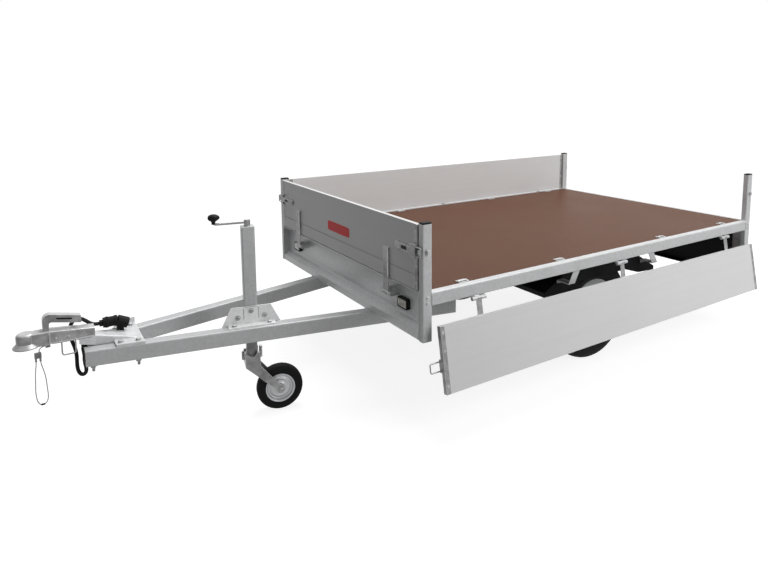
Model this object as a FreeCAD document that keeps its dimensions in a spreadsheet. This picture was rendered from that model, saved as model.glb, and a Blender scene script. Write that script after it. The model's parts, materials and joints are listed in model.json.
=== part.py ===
import FreeCAD, Part
import Sketcher
import math
import os
import re
from FreeCAD import Placement, Rotation, Vector

# Drop-side flatbed trailer, millimetres, +X towards the towing vehicle, +Y to its left, +Z up
# The origin is the centre of the ball that the coupling takes, the ground lies below it

doc = FreeCAD.newDocument("utility_trailer")
sheet = doc.addObject("Spreadsheet::Sheet", "Sizes")

SIZES = {
    # bed and its place
    "bed_length": 2576,
    "bed_width": 1590,
    "bed_height": 668,
    "ball_to_bed": 1420,
    "ball_drop": 150,
    "floor_thickness": 15,
    # posts, rails and beams
    "post_along": 48,
    "post_across": 34,
    "post_rise": 299,
    "post_wall": 3,
    "bend_radius": 3,
    "cap_height": 7,
    "cap_crown": 3,
    "cap_plug_depth": 12,
    "rail_depth": 60,
    "rail_wall": 3,
    "beam_depth": 216,
    "beam_flange": 42,
    "beam_lip": 38,
    "member_width": 60,
    "member_brim": 18,
    "member_wall": 3,
    "member_front_margin": 420,
    "member_rear_margin": 416,
    "arm_to_rail": 22,
    "chassis_rail_width": 45,
    "chassis_rail_wall": 4,
    # boards and their hinges
    "board_height": 288,
    "board_thickness": 20,
    "board_gap": 6,
    "groove_height": 63,
    "groove_width": 6,
    "groove_depth": 3,
    "end_cap_width": 22,
    "end_cap_wall": 1.5,
    "hinge_out": 7,
    "hinge_drop": 69,
    "tail_hinge_out": 14,
    "tail_hinge_drop": 36,
    "hinge_radius": 9,
    "knuckle_length": 34,
    "lug_length": 22,
    "running_gap": 0.3,
    "lug_plate": 5,
    "strap_width": 30,
    "strap_thickness": 4,
    "strap_reach": 55,
    "head_strap_width": 46,
    "head_strap_reach": 140,
    "head_strap_out": 505,
    "tail_strap_out": 520,
    "open_angle": 169.5,
    "side_hinge_first_share": 0.116,
    # latches
    "latch_height_share": 0.6,
    "latch_plate": 3,
    "latch_plate_width": 40,
    "latch_length": 168,
    "latch_width": 26,
    "latch_thickness": 15,
    "lever_full_share": 0.7,
    "latch_yoke_length": 10,
    "latch_yoke_margin": 5,
    "loop_height": 46,
    "loop_wire": 6,
    "loop_bend": 7,
    "loop_lift": 7,
    "hook_width": 14,
    "hook_reach": 7,
    "hook_lip": 4,
    "hook_lip_height": 22,
    # drawbar
    "arm_width": 60,
    "arm_height": 70,
    "arm_wall": 4,
    "arm_front": 204,
    "arm_front_out": 84,
    "arm_rear": 450,
    "arm_rear_out": 440,
    "plate_front": 320,
    "plate_rear": 430,
    "plate_thickness": 10,
    "plate_half_front": 106,
    "plate_half_rear": 129,
    "plate_edge_rise": 26,
    "plate_edge_length": 92,
    "flare_front": 188,
    "flare_front_drop": 50,
    "flare_width": 132,
    "flare_wall": 5,
    "flare_sink": 2,
    # coupling
    "ball_radius": 25,
    "ball_clearance": 0.5,
    "head_radius": 36,
    "head_crown": 33,
    "head_round": 14,
    "head_skirt": 26,
    "lip_reach": 14,
    "lip_thickness": 4,
    "neck_back": 84,
    "neck_width": 60,
    "neck_top": 30,
    "press_round": 8,
    "housing_drop": 22,
    "housing_rear": 250,
    "housing_fall": 18,
    "housing_wall": 4,
    "handle_front": 60,
    "handle_leg": 24,
    "handle_foot_reach": 12,
    "handle_rear": 202,
    "handle_top": 98,
    "handle_fall": 26,
    "handle_depth": 32,
    "handle_bend": 26,
    "handle_width": 34,
    "handle_wall": 3,
    "guide_front": 124,
    "guide_rear": 175,
    "guide_bend": 10,
    "guide_depth": 60,
    "guide_bar": 6,
    # jack
    "jack_behind": 892,
    "jack_tube": 60,
    "jack_tube_wall": 5,
    "jack_rise": 385,
    "jack_tube_end": 156,
    "jack_leg_wall": 4,
    "jack_inner_top": 60,
    "jack_inner_end": 228,
    "jack_lid": 5,
    "crank_hub_radius": 14,
    "crank_hub_height": 30,
    "crank_reach": 148,
    "crank_rod_radius": 6,
    "crank_bend": 12,
    "knob_rise": 5,
    "knob_rim": 8,
    "knob_radius": 24,
    "knob_height": 22,
    "knob_flat_radius": 6,
    "knob_stem_radius": 10,
    "bracket_top_width": 180,
    "bracket_foot_width": 264,
    "bracket_rise": 84,
    "bracket_thickness": 5,
    "bracket_foot": 46,
    "bracket_foot_length": 210,
    "caster_radius": 110,
    "caster_width": 58,
    "caster_trail": 125,
    "caster_rim_radius": 66,
    "caster_rim_width": 50,
    "caster_hub_radius": 18,
    "caster_hub_width": 62,
    "caster_disc_wall": 5,
    "caster_pin": 6,
    "fork_gap": 12,
    "fork_plate": 4,
    "fork_head_half": 34,
    "fork_head_height": 46,
    "fork_crown": 6,
    "fork_half_width": 17,
    "ear_front_rise": 14,
    "ear_rear_rise": 22,
    "ear_width": 14,
    "axle_nut": 9,
    "collar_radius": 12,
    # axle and wheels
    "axle_behind": 1280,
    "wheel_inside": 225,
    "wheel_radius": 289,
    "tyre_width": 157,
    "rim_radius": 165,
    "rim_half_width": 60,
    "rim_wall": 5,
    "rim_flange": 8,
    "dish_out_share": 0.82,
    "dish_in_share": 0.58,
    "disc_offset": 30,
    "disc_wall": 5,
    "disc_dish": 18,
    "vent_radius": 11,
    "vent_circle": 112,
    "vent_count": 10,
    "hub_radius": 72,
    "hub_barrel": 52,
    "hub_flange": 10,
    "hub_to_arm": 6,
    "stub_radius": 18,
    "hub_cap_radius": 30,
    "hub_cap_length": 32,
    "axle_tube_radius": 35,
    "axle_bracket_length": 120,
    "axle_bracket_thickness": 12,
    "swing_ahead": 150,
    "swing_thickness": 28,
    "swing_radius": 38,
    "swing_blade_share": 0.8,
    "tyre_to_arm": 12,
    # mudguards
    "guard_inboard": 108,
    "guard_outboard": 120,
    "guard_wall": 4,
    "guard_top": 66,
    "guard_half_flat": 190,
    "guard_half_bend": 305,
    "guard_bend_drop": 102,
    "guard_half": 450,
    "guard_end_drop": 186,
    "guard_lip": 24,
    "guard_skirt": 100,
    "stay_width": 46,
    "stay_thickness": 4,
    "stay_half_spread": 342,
    "stay_lean": 40,
    "stay_foot_drop": 128,
    "stay_foot_height": 14,
    "stay_inset": 24,
    # rear lamp carrier and lamps
    "carrier_ahead": 30,
    "carrier_depth": 353,
    "carrier_flange": 46,
    "carrier_wall": 3,
    "carrier_side_gap": 36,
    "lamp_length": 220,
    "lamp_height": 100,
    "lamp_thickness": 46,
    "lamp_corner": 14,
    "lens_rise": 6,
    "lens_inset": 5,
    "lamp_out": 560,
    "lamp_drop": 200,
    "front_lamp_length": 80,
    "front_lamp_height": 50,
    "front_lamp_thickness": 26,
    "front_lamp_corner": 10,
    "front_lamp_beside": 8,
    "front_lamp_drop": 100,
    # lashing eyes
    "eye_length": 56,
    "eye_width": 34,
    "eye_rise": 3,
    "eye_fit": 0.5,
    "eye_bar_radius": 4,
    "eye_rim": 5,
    "eye_dish_depth": 12,
    "eye_margin": 250,
    "eye_second_margin": 870,
    # electric lead, safety cable and their ends
    "lead_diameter": 16,
    "cable_diameter": 4,
    "cable_eye_length": 18,
    "cable_eye_thickness": 5,
    "cable_eye_height": 20,
    "clip_width": 26,
    "clip_thickness": 9,
    "clip_length": 24,
    "clip_behind": 37,
    "clip_drop": 72,
    "gland_radius": 12,
    "gland_drop": 78,
    "gland_behind": 208,
    "collar_length": 11,
    "holder_radius": 24,
    "holder_length": 46,
    "holder_foot": 24,
    "holder_tilt": 25,
    "end_plug_depth": 14,
    "plug_radius": 22,
    "plug_length": 46,
    "plug_behind": 289,
    "plug_out": 40,
    "plug_boot": 14,
    "plug_boot_radius": 14,
    "overrun": 5,
}

for row, (alias, value) in enumerate(SIZES.items(), start=1):
    sheet.set(f"A{row}", alias)
    sheet.set(f"B{row}", str(value))
    sheet.setAlias(f"B{row}", alias)
doc.recompute()

NAMES = re.compile(r"\b(" + "|".join(SIZES) + r")\b")


def bound(expression):
    """The expression as another object of the document writes it."""
    return NAMES.sub(r"Sizes.\1", str(expression))


def num(expression):
    """The value of an expression in the sheet's names."""
    return float(sheet.evalExpression(str(expression)))


def bind(item, name, expression):
    item.setExpression(name, bound(expression))


def place(item, x, y, z, rotation=None):
    """Puts an object at a point whose three coordinates follow the sheet."""
    spot = Vector(num(x), num(y), num(z))
    item.Placement = Placement(spot, rotation or Rotation())
    for axis, expression in zip("xyz", (x, y, z)):
        bind(item, f".Placement.Base.{axis}", expression)
    return item


def span(low, high):
    return f"(({high}) - ({low}))"


def box(label, xs, ys, zs):
    """A block from low to high along each axis."""
    item = doc.addObject("Part::Box", label)
    item.Label = label
    for name, (low, high) in zip(("Length", "Width", "Height"), (xs, ys, zs)):
        bind(item, name, span(low, high))
    return place(item, xs[0], ys[0], zs[0])


TURNS = {
    "x": Rotation(Vector(0, 1, 0), 90),
    "y": Rotation(Vector(1, 0, 0), -90),
    "z": Rotation(),
}


def rod(label, axis, radius, low, high, across):
    """A round bar along an axis; across holds the two other coordinates in the order x, y, z."""
    item = doc.addObject("Part::Cylinder", label)
    item.Label = label
    bind(item, "Radius", radius)
    bind(item, "Height", span(low, high))
    spot = list(across)
    spot.insert("xyz".index(axis), low)
    return place(item, *spot, TURNS[axis])


def origin_plane(body, role):
    return next(f for f in body.Origin.OriginFeatures if f.Role == role)


def length_between(start, end):
    return f"sqrt(({end[0]} - ({start[0]}))^2 + ({end[1]} - ({start[1]}))^2)"


def draw(sketch, points, closed=True):
    """Draws lines and arcs through points (u, v) or (u, v, bulge), and ties corners and radii to the sheet.

    A bulge is the tangent of a quarter of the arc's angle. A positive one bends the side that leaves
    the point to the right of its way.
    """
    first = sketch.GeometryCount
    spots = [Vector(num(p[0]), num(p[1]), 0) for p in points]
    count = len(points) if closed else len(points) - 1
    starts = []
    ends = []
    for i in range(count):
        start = spots[i]
        end = spots[(i + 1) % len(spots)]
        bulge = points[i][2] if len(points[i]) > 2 else 0
        if bulge:
            chord = end - start
            crest = (start + end) / 2 + Vector(chord.y, -chord.x, 0) * (bulge / 2)
            tips = (start, end) if bulge > 0 else (end, start)
            sketch.addGeometry(Part.Arc(tips[0], crest, tips[1]), False)
        else:
            sketch.addGeometry(Part.LineSegment(start, end), False)
        starts.append(2 if bulge < 0 else 1)
        ends.append(1 if bulge < 0 else 2)
    for i in range(count if closed else count - 1):
        after = (i + 1) % count
        sketch.addConstraint(Sketcher.Constraint("Coincident", first + i, ends[i], first + after,
                                                 starts[after]))
    for i, point in enumerate(points):
        curve, end = (first + i, starts[i]) if i < count else (first + i - 1, ends[i - 1])
        for kind, expression in zip(("DistanceX", "DistanceY"), point[:2]):
            index = sketch.addConstraint(Sketcher.Constraint(kind, curve, end, num(expression)))
            bind(sketch, f"Constraints[{index}]", expression)
        if i < count and len(point) > 2 and point[2]:
            bulge = abs(point[2])
            chord = length_between(point, points[(i + 1) % len(points)])
            radius = f"{chord} * {(1 + bulge * bulge) / (4 * bulge)}"
            index = sketch.addConstraint(Sketcher.Constraint("Radius", curve, num(radius)))
            bind(sketch, f"Constraints[{index}]", radius)


ROLES = {"xy": "XY_Plane", "xz": "XZ_Plane", "yz": "YZ_Plane"}


def new_sketch(body, name, plane, offset=None):
    """A sketch on one of the body's main planes, moved out along the third axis."""
    sketch = body.newObject("Sketcher::SketchObject", name)
    sketch.AttachmentSupport = [(origin_plane(body, ROLES[plane]), "")]
    sketch.MapMode = "FlatFace"
    if offset:
        depth = f"-({offset})" if plane == "xz" else offset
        sketch.AttachmentOffset = Placement(Vector(0, 0, num(depth)), Rotation())
        bind(sketch, ".AttachmentOffset.Base.z", depth)
    return sketch


def ring(sketch, u, v, radius):
    """A circle whose centre and radius follow the sheet."""
    sketch.addGeometry(Part.Circle(Vector(num(u), num(v), 0), Vector(0, 0, 1), num(radius)), False)
    for kind, expression in (("DistanceX", u), ("DistanceY", v)):
        index = sketch.addConstraint(Sketcher.Constraint(kind, 0, 3, num(expression)))
        bind(sketch, f"Constraints[{index}]", expression)
    index = sketch.addConstraint(Sketcher.Constraint("Radius", 0, num(radius)))
    bind(sketch, f"Constraints[{index}]", radius)


def new_body(label):
    body = doc.addObject("PartDesign::Body", label)
    body.Label = label
    return body


def outlined(label, plane, loops):
    """A body with a sketch of one closed outline, or of an outline and the holes in it."""
    body = new_body(label)
    sketch = new_sketch(body, label + "_outline", plane)
    for points in loops if isinstance(loops[0], list) else [loops]:
        draw(sketch, points)
    return body, sketch


def prism(label, plane, loops, low, high):
    """An outline in a main plane, padded from low to high along the third axis."""
    body, sketch = outlined(label, plane, loops)
    pad = body.newObject("PartDesign::Pad", label + "_pad")
    pad.Profile = sketch
    bind(pad, "Length", span(low, high))
    pad.Reversed = plane == "xz"
    spot = [0, 0, 0]
    spot["xyz".index(({"x", "y", "z"} - set(plane)).pop())] = low
    return place(body, *spot)


def turned(label, points, x, y, z, plane="yz", axis="H_Axis"):
    """An outline turned about an axis of its plane through a point; plain calls turn it about Y."""
    body, sketch = outlined(label, plane, points)
    turn = body.newObject("PartDesign::Revolution", label + "_turn")
    turn.Profile = sketch
    turn.ReferenceAxis = (sketch, [axis])
    turn.Angle = 360
    return place(body, x, y, z)


def lofted(label, sections):
    """A solid drawn straight through outlines across X, each given with its place."""
    body = new_body(label)
    sketches = []
    for i, (x, points) in enumerate(sections):
        sketch = new_sketch(body, f"{label}_section_{i + 1}", "yz", x)
        draw(sketch, points)
        sketches.append(sketch)
    loft = body.newObject("PartDesign::AdditiveLoft", label + "_loft")
    loft.Profile = sketches[0]
    loft.Sections = sketches[1:]
    loft.Ruled = True
    return body


def bent_wire(label, plane, points, radius, x, y, z):
    """A round wire along an open path in a main plane, which starts along one of the plane's axes."""
    body = new_body(label)
    path = new_sketch(body, label + "_path", plane)
    draw(path, points, closed=False)
    start = dict(zip(plane, points[0]))
    along = plane[0] if num(points[0][1]) == num(points[1][1]) else plane[1]
    across = "xyz".replace(along, "")
    section = new_sketch(body, label + "_section", across, start[along])
    ring(section, *(start.get(axis, "0") for axis in across), radius)
    pipe = body.newObject("PartDesign::AdditivePipe", label + "_pipe")
    pipe.Profile = section
    pipe.Spine = path
    return place(body, x, y, z)


def fuse(label, parts):
    item = doc.addObject("Part::MultiFuse", label)
    item.Label = label
    item.Shapes = parts
    return item


def cut(label, base, tool):
    item = doc.addObject("Part::Cut", label)
    item.Label = label
    item.Base = base
    item.Tool = tool
    return item


def group(label, parts):
    item = doc.addObject("Part::Compound", label)
    item.Label = label
    item.Links = parts
    return item


def mirrored(label, source):
    """The same piece on the other side of the trailer."""
    item = doc.addObject("Part::Mirroring", label)
    item.Label = label
    item.Source = source
    item.Normal = Vector(0, 1, 0)
    return item


def both_sides(label, parts):
    return group(label, parts + [mirrored(part.Label + "_right", part) for part in parts])


def swung(label, source, axis, angle, x, y, z):
    """A piece turned from its closed place about an axis through a point."""
    item = group(label, [source])
    item.Placement = Placement(Vector(), Rotation(axis, angle), Vector(num(x), num(y), num(z)))
    return item


# The bulge of a quarter circle
QUARTER = math.tan(math.radians(90) / 4)


def round_box(us, vs, radius):
    """A rectangle with rounded corners, against the clock."""
    (left, right), (low, high) = us, vs
    return [(f"{left} + {radius}", low), (f"{right} - {radius}", low, QUARTER),
            (right, f"{low} + {radius}"), (right, f"{high} - {radius}", QUARTER),
            (f"{right} - {radius}", high), (f"{left} + {radius}", high, QUARTER),
            (left, f"{high} - {radius}"), (left, f"{low} + {radius}", QUARTER)]


def hood(us, vs, radius):
    """A rectangle whose two upper corners are rounded, against the clock."""
    (left, right), (low, high) = us, vs
    return [(left, low), (right, low), (right, f"{high} - {radius}", QUARTER), (f"{right} - {radius}", high),
            (f"{left} + {radius}", high, QUARTER), (left, f"{high} - {radius}")]


def tube_outline(us, vs, wall):
    """A box tube's outer and inner outline."""
    inner = [(f"{low} + {wall}", f"{high} - {wall}") for low, high in (us, vs)]
    return [round_box(us, vs, f"({wall} + bend_radius)"), round_box(*inner, "bend_radius")]


def moved(expression, way, length):
    """The expression moved by a length, forwards, backwards or not at all."""
    return expression if way == 0 else f"({expression} {'+' if way > 0 else '-'} {length})"


def folded(corners, wall):
    """The outline of a sheet bent square at corners; the sheet lies to the left of the way."""
    ways = []
    for start, end in zip(corners, corners[1:]):
        run = [num(b) - num(a) for a, b in zip(start, end)]
        ways.append([(v > 0) - (v < 0) if abs(v) == max(map(abs, run)) else 0 for v in run])
    near = []
    far = []
    for i, (u, v) in enumerate(corners):
        into = ways[max(i - 1, 0)]
        out = ways[min(i, len(ways) - 1)]
        if i in (0, len(corners) - 1):
            near.append((u, v))
            far.append((moved(u, -out[1], wall), moved(v, out[0], wall)))
            continue
        turn = into[0] * out[1] - into[1] * out[0]
        outer = f"({wall} + bend_radius)"
        near_radius, far_radius = (outer, "bend_radius") if turn > 0 else ("bend_radius", outer)
        fu = moved(u, -into[1] - out[1], wall)
        fv = moved(v, into[0] + out[0], wall)
        near += [(moved(u, -into[0], near_radius), moved(v, -into[1], near_radius), turn * QUARTER),
                 (moved(u, out[0], near_radius), moved(v, out[1], near_radius))]
        far += [(moved(fu, -into[0], far_radius), moved(fv, -into[1], far_radius)),
                (moved(fu, out[0], far_radius), moved(fv, out[1], far_radius), -turn * QUARTER)]
    return near + far[::-1]


NODES = []


def node(item):
    NODES.append(item)
    return item


# Places that many pieces share
FRONT = "(-ball_to_bed)"
REAR = "(-ball_to_bed - bed_length)"
DECK = "ball_drop"
GROUND = "(ball_drop - bed_height)"
SIDE = "(bed_width/2)"
RAIL_IN = "(bed_width/2 - post_across)"
BEAM_BOTTOM = "(ball_drop - beam_depth)"
RAIL_BOTTOM = "(ball_drop - rail_depth)"
POST_TOP = "(ball_drop + post_rise)"
AXLE_X = "(-ball_to_bed - axle_behind)"
AXLE_Z = "(ball_drop - bed_height + wheel_radius)"


def post_span(front):
    return (f"({FRONT} - post_along)", FRONT) if front else (REAR, f"({REAR} + post_along)")


# Corner posts, tubes with a plastic cap each
def corner_post(label, front):
    return prism(label, "xy", tube_outline(post_span(front), (RAIL_IN, SIDE), "post_wall"), BEAM_BOTTOM,
                 POST_TOP)


def post_cap(label, front):
    xs = post_span(front)
    ys = (RAIL_IN, SIDE)
    lid = prism(label + "_lid", "xy", round_box(xs, ys, "(post_wall + bend_radius)"), POST_TOP,
                f"{POST_TOP} + cap_height - cap_crown")
    low_x, high_x, low_y, high_y = (f"{s} {sign} cap_crown" for s, sign in zip((*xs, *ys), "+-+-"))
    crown = prism(label + "_crown", "xy", round_box((low_x, high_x), (low_y, high_y), "bend_radius"),
                  f"{POST_TOP} + cap_height - cap_crown", f"{POST_TOP} + cap_height")
    low_x, high_x, low_y, high_y = (f"{s} {sign} post_wall" for s, sign in zip((*xs, *ys), "+-+-"))
    plug = prism(label + "_plug", "xy", round_box((low_x, high_x), (low_y, high_y), "bend_radius"),
                 f"{POST_TOP} - cap_plug_depth", POST_TOP)
    return fuse(label, [lid, crown, plug])


node(both_sides("corner_posts", [corner_post("front_post", True), corner_post("rear_post", False)]))
node(both_sides("post_caps", [post_cap("front_cap", True), post_cap("rear_cap", False)]))

# Side rails and rear rail, channels that open inwards
side_rail = prism("side_rail", "yz",
                  folded([(RAIL_IN, RAIL_BOTTOM), (SIDE, RAIL_BOTTOM), (SIDE, DECK), (RAIL_IN, DECK)],
                         "rail_wall"),
                  f"{REAR} + post_along", f"{FRONT} - post_along")
node(both_sides("side_rails", [side_rail]))
REAR_RAIL_IN = f"({REAR} + post_across)"
node(prism("rear_rail", "xz",
           folded([(REAR_RAIL_IN, DECK), (REAR, DECK), (REAR, RAIL_BOTTOM), (REAR_RAIL_IN, RAIL_BOTTOM)],
                  "rail_wall"),
           f"-{RAIL_IN}", RAIL_IN))

# The deep front beam: a channel that opens forwards, its lower flange ending in an upturned lip
WEB = f"({FRONT} - beam_flange)"
node(prism("front_beam", "xz",
           folded([(FRONT, DECK), (WEB, DECK), (WEB, BEAM_BOTTOM), (FRONT, BEAM_BOTTOM),
                   (FRONT, f"({BEAM_BOTTOM} + beam_lip)")], "rail_wall"),
           f"-{RAIL_IN}", RAIL_IN))

# Floor, with a notch for each lashing eye in its long edges
FLOOR_BOTTOM = f"({DECK} - floor_thickness)"
EYES = [f"({FRONT} - eye_margin)", f"({FRONT} - eye_second_margin)", f"({REAR} + eye_second_margin)",
        f"({REAR} + eye_margin)"]
floor_sheet = box("floor_sheet", (REAR_RAIL_IN, WEB), (f"-{RAIL_IN}", RAIL_IN), (FLOOR_BOTTOM, DECK))
notches = [box(f"floor_notch_{i + 1}", (f"{x} - eye_length/2 - eye_fit", f"{x} + eye_length/2 + eye_fit"),
               (f"{RAIL_IN} - eye_width - eye_fit", f"{RAIL_IN} + overrun"),
               (f"{FLOOR_BOTTOM} - overrun", f"{DECK} + overrun")) for i, x in enumerate(EYES)]
node(cut("floor_panel", floor_sheet, both_sides("floor_notches", notches)))


# Lashing eyes: a dished block in each notch with a bar across the dish
def lashing_eye(label, x):
    low = f"{RAIL_IN} - eye_width"
    block = prism(label + "_block", "xy",
                  round_box((f"{x} - eye_length/2", f"{x} + eye_length/2"), (low, RAIL_IN), "bend_radius"),
                  FLOOR_BOTTOM, f"{DECK} + eye_rise")
    inside = round_box((f"{x} - eye_length/2 + eye_rim", f"{x} + eye_length/2 - eye_rim"),
                       (f"{low} + eye_rim", f"{RAIL_IN} - eye_rim"), "eye_rim")
    dish = prism(label + "_dish", "xy", inside, f"{DECK} + eye_rise - eye_dish_depth", f"{DECK} + overrun")
    bar = rod(label + "_bar", "x", "eye_bar_radius", f"{x} - eye_length/2 + bend_radius",
              f"{x} + eye_length/2 - bend_radius", (f"{RAIL_IN} - eye_width/2", f"{DECK} + eye_rise"))
    return fuse(label, [cut(label + "_cup", block, dish), bar])


node(both_sides("lashing_eyes", [lashing_eye(f"eye_{i + 1}", x) for i, x in enumerate(EYES)]))


# Cross members, hat sections open below whose brims rest on the rails' lower flanges
def cross_member(index, x):
    foot = f"({RAIL_BOTTOM} + rail_wall + member_wall)"
    half = "member_width/2"
    brim = "(member_width/2 + member_brim)"
    corners = [(f"({x} + {brim})", foot), (f"({x} + {half})", foot), (f"({x} + {half})", FLOOR_BOTTOM),
               (f"({x} - {half})", FLOOR_BOTTOM), (f"({x} - {half})", foot), (f"({x} - {brim})", foot)]
    reach = f"({SIDE} - rail_wall - bend_radius)"
    return prism(f"cross_member_{index}", "xz", folded(corners, "member_wall"), f"-{reach}", reach)


MEMBER_COUNT = 5
member_pitch = f"(bed_length - member_front_margin - member_rear_margin)/{MEMBER_COUNT - 1}"
node(group("cross_members", [cross_member(i + 1, f"({FRONT} - member_front_margin - {member_pitch}*{i})")
                             for i in range(MEMBER_COUNT)]))

# Chassis rails between the front beam and the lamp carrier, inboard of the swinging arms
TRACK = "(bed_width/2 - wheel_inside)"
SWING_OUT = f"({TRACK} - tyre_width/2 - tyre_to_arm)"
SWING_IN = f"({TRACK} - tyre_width/2 - tyre_to_arm - swing_thickness)"
CHASSIS_OUT = f"({SWING_IN} - arm_to_rail)"
CHASSIS_IN = f"({SWING_IN} - arm_to_rail - chassis_rail_width)"
CARRIER = f"({REAR} + post_across + carrier_ahead)"
CARRIER_EDGE = f"({REAR} + post_across + carrier_ahead + carrier_flange)"
RAIL_TOP = f"({RAIL_BOTTOM} + rail_wall)"
chassis_rail = prism("chassis_rail", "yz",
                     folded([(CHASSIS_IN, BEAM_BOTTOM), (CHASSIS_OUT, BEAM_BOTTOM), (CHASSIS_OUT, RAIL_TOP),
                             (CHASSIS_IN, RAIL_TOP)], "chassis_rail_wall"),
                     CARRIER_EDGE, WEB)
node(both_sides("chassis_rails", [chassis_rail]))

# Rear lamp carrier, a deep black channel below the rear rail
CARRIER_LOW = f"({DECK} - carrier_depth)"
node(prism("lamp_carrier", "xz",
           folded([(CARRIER_EDGE, RAIL_BOTTOM), (CARRIER, RAIL_BOTTOM), (CARRIER, CARRIER_LOW),
                   (CARRIER_EDGE, CARRIER_LOW)], "carrier_wall"),
           f"-({RAIL_IN} - carrier_side_gap)", f"{RAIL_IN} - carrier_side_gap"))


# Lamps, each a rounded base with a smaller lens standing on it
def lamp(label, back, way, y, z, length, height, thickness, corner):
    def layer(name, inset, near, far):
        ys = (f"({y} - {length}/2 + {inset})", f"({y} + {length}/2 - {inset})")
        zs = (f"({z} - {height}/2 + {inset})", f"({z} + {height}/2 - {inset})")
        ends = [f"{back} {way} {depth}" for depth in (near, far)]
        low, high = ends if way == "+" else ends[::-1]
        return prism(f"{label}_{name}", "yz", round_box(ys, zs, f"({corner} - {inset})"), low, high)
    return fuse(label, [layer("base", "0", "0", f"({thickness} - lens_rise)"),
                        layer("lens", "lens_inset", f"({thickness} - lens_rise)", thickness)])


node(both_sides("rear_lamps", [lamp("rear_lamp", CARRIER, "-", "lamp_out", f"({DECK} - lamp_drop)",
                                    "lamp_length",
                                    "lamp_height", "lamp_thickness", "lamp_corner")]))
FRONT_LAMP_Y = ("(head_strap_out + head_strap_width/2 + running_gap + lug_length + front_lamp_beside"
                " + front_lamp_length/2)")
node(both_sides("front_lamps", [lamp("front_lamp", f"({WEB} + rail_wall)", "+", FRONT_LAMP_Y,
                                     f"({DECK} - front_lamp_drop)", "front_lamp_length", "front_lamp_height",
                                     "front_lamp_thickness", "front_lamp_corner")]))

# Drawbar arms, tubes that run together towards the coupling
ARM_TOP = BEAM_BOTTOM
ARM_BOTTOM = f"({BEAM_BOTTOM} - arm_height)"
ARM_FRONT = "(-arm_front)"
ARM_REAR = f"({FRONT} - arm_rear)"
ARM_SLOPE = "((arm_rear_out - arm_front_out)/(ball_to_bed + arm_rear - arm_front))"


def arm_y(x, inset="0"):
    """The arm's outer side at a distance x ahead of the ball, moved in by inset."""
    return f"(arm_front_out - ({x} + arm_front)*{ARM_SLOPE} - ({inset}))"


def arm_length(label, front, rear, wall, radius):
    """A stretch of the arm's outer or inner form, drawn from end to end."""
    sections = [(x, round_box((arm_y(x, f"arm_width - {wall}"), arm_y(x, wall)),
                              (f"({ARM_BOTTOM} + {wall})", f"({ARM_TOP} - {wall})"),
                              radius)) for x in (rear, front)]
    return lofted(label, sections)


arm = cut("drawbar_arm", arm_length("arm_shell", ARM_FRONT, ARM_REAR, "0", "(arm_wall + bend_radius)"),
          arm_length("arm_hollow", f"({ARM_FRONT} + overrun)", f"({ARM_REAR} - overrun)", "arm_wall",
                     "bend_radius"))
node(both_sides("drawbar_arms", [arm]))

# Coupling adapter: a plate across the arms, a pressed flare up to the coupling and an upturned edge
PLATE_TOP = f"({ARM_TOP} + plate_thickness)"
HOUSING_BOTTOM = "(-housing_drop)"
FLARE_FRONT = "(-flare_front)"
HOUSING_REAR = "(-housing_rear)"
FLARE_REAR = "(-plate_rear + plate_thickness)"
FLARE_END = f"({PLATE_TOP} - flare_sink)"


def plate_half(x):
    """Half of the plate's width at a distance x behind the ball."""
    flare = "(plate_half_rear - plate_half_front)/(plate_rear - plate_front)"
    return f"(plate_half_front + {flare}*({x} - plate_front))"


def flare_top(x):
    """The height of the flare's sloping top at a place along it."""
    fall = f"({FLARE_END} - {HOUSING_BOTTOM})/({FLARE_REAR} + housing_rear)"
    return f"({HOUSING_BOTTOM} + (({x}) + housing_rear)*{fall})"


def flare(label, wall, low_front, low_rear, low_end, radius):
    """The flare's outer or inner form: level below the coupling, then wider and lower towards the plate."""
    sections = []
    for x, half, low, top, corner in ((FLARE_REAR, "flare_width/2", low_end, FLARE_END, "flare_sink"),
                                      (HOUSING_REAR, "neck_width/2", low_rear, HOUSING_BOTTOM, radius),
                                      (FLARE_FRONT, "neck_width/2", low_front, HOUSING_BOTTOM, radius)):
        sections.append((x, hood((f"(-{half} + {wall})", f"({half} - {wall})"), (low, f"({top} - {wall})"),
                                 corner)))
    return lofted(label, sections)


plate = prism("adapter_plate", "xy", [
    ("-plate_front", "plate_half_front"), ("-plate_rear", "plate_half_rear"),
    ("-plate_rear", "-plate_half_rear"), ("-plate_front", "-plate_half_front")], ARM_TOP, PLATE_TOP)
BELOW_ARM = f"({ARM_TOP} - overrun)"
flare_shell = flare("flare_shell", "0", "(-flare_front_drop)", ARM_TOP, f"({ARM_TOP} + flare_sink)",
                    "press_round")
flare_hollow = flare("flare_hollow", "flare_wall", BELOW_ARM, BELOW_ARM, BELOW_ARM,
                     "(press_round - flare_wall)")
edge_front = "(plate_rear - plate_edge_length)"
plate_edge = prism("adapter_edge", "xy", [
    (f"-{edge_front}", f"-{plate_half(edge_front)}"), ("-plate_rear", "-plate_half_rear"),
    ("-plate_rear", "-plate_half_rear + rail_wall"),
    (f"-{edge_front}", f"-{plate_half(edge_front)} + rail_wall")],
    ARM_TOP, f"{PLATE_TOP} + plate_edge_rise")
node(cut("coupling_adapter", fuse("adapter_solid", [plate, flare_shell, plate_edge]), flare_hollow))


# Coupling: a pressed channel, the head with its ball socket, and the release handle
def housing(label, wall, low, radius):
    ys = (f"(-neck_width/2 + {wall})", f"(neck_width/2 - {wall})")
    return lofted(label, [(HOUSING_REAR, hood(ys, (low, f"(neck_top - housing_fall - {wall})"), radius)),
                          ("(-neck_back)", hood(ys, (low, f"(neck_top - {wall})"), radius))])


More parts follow.
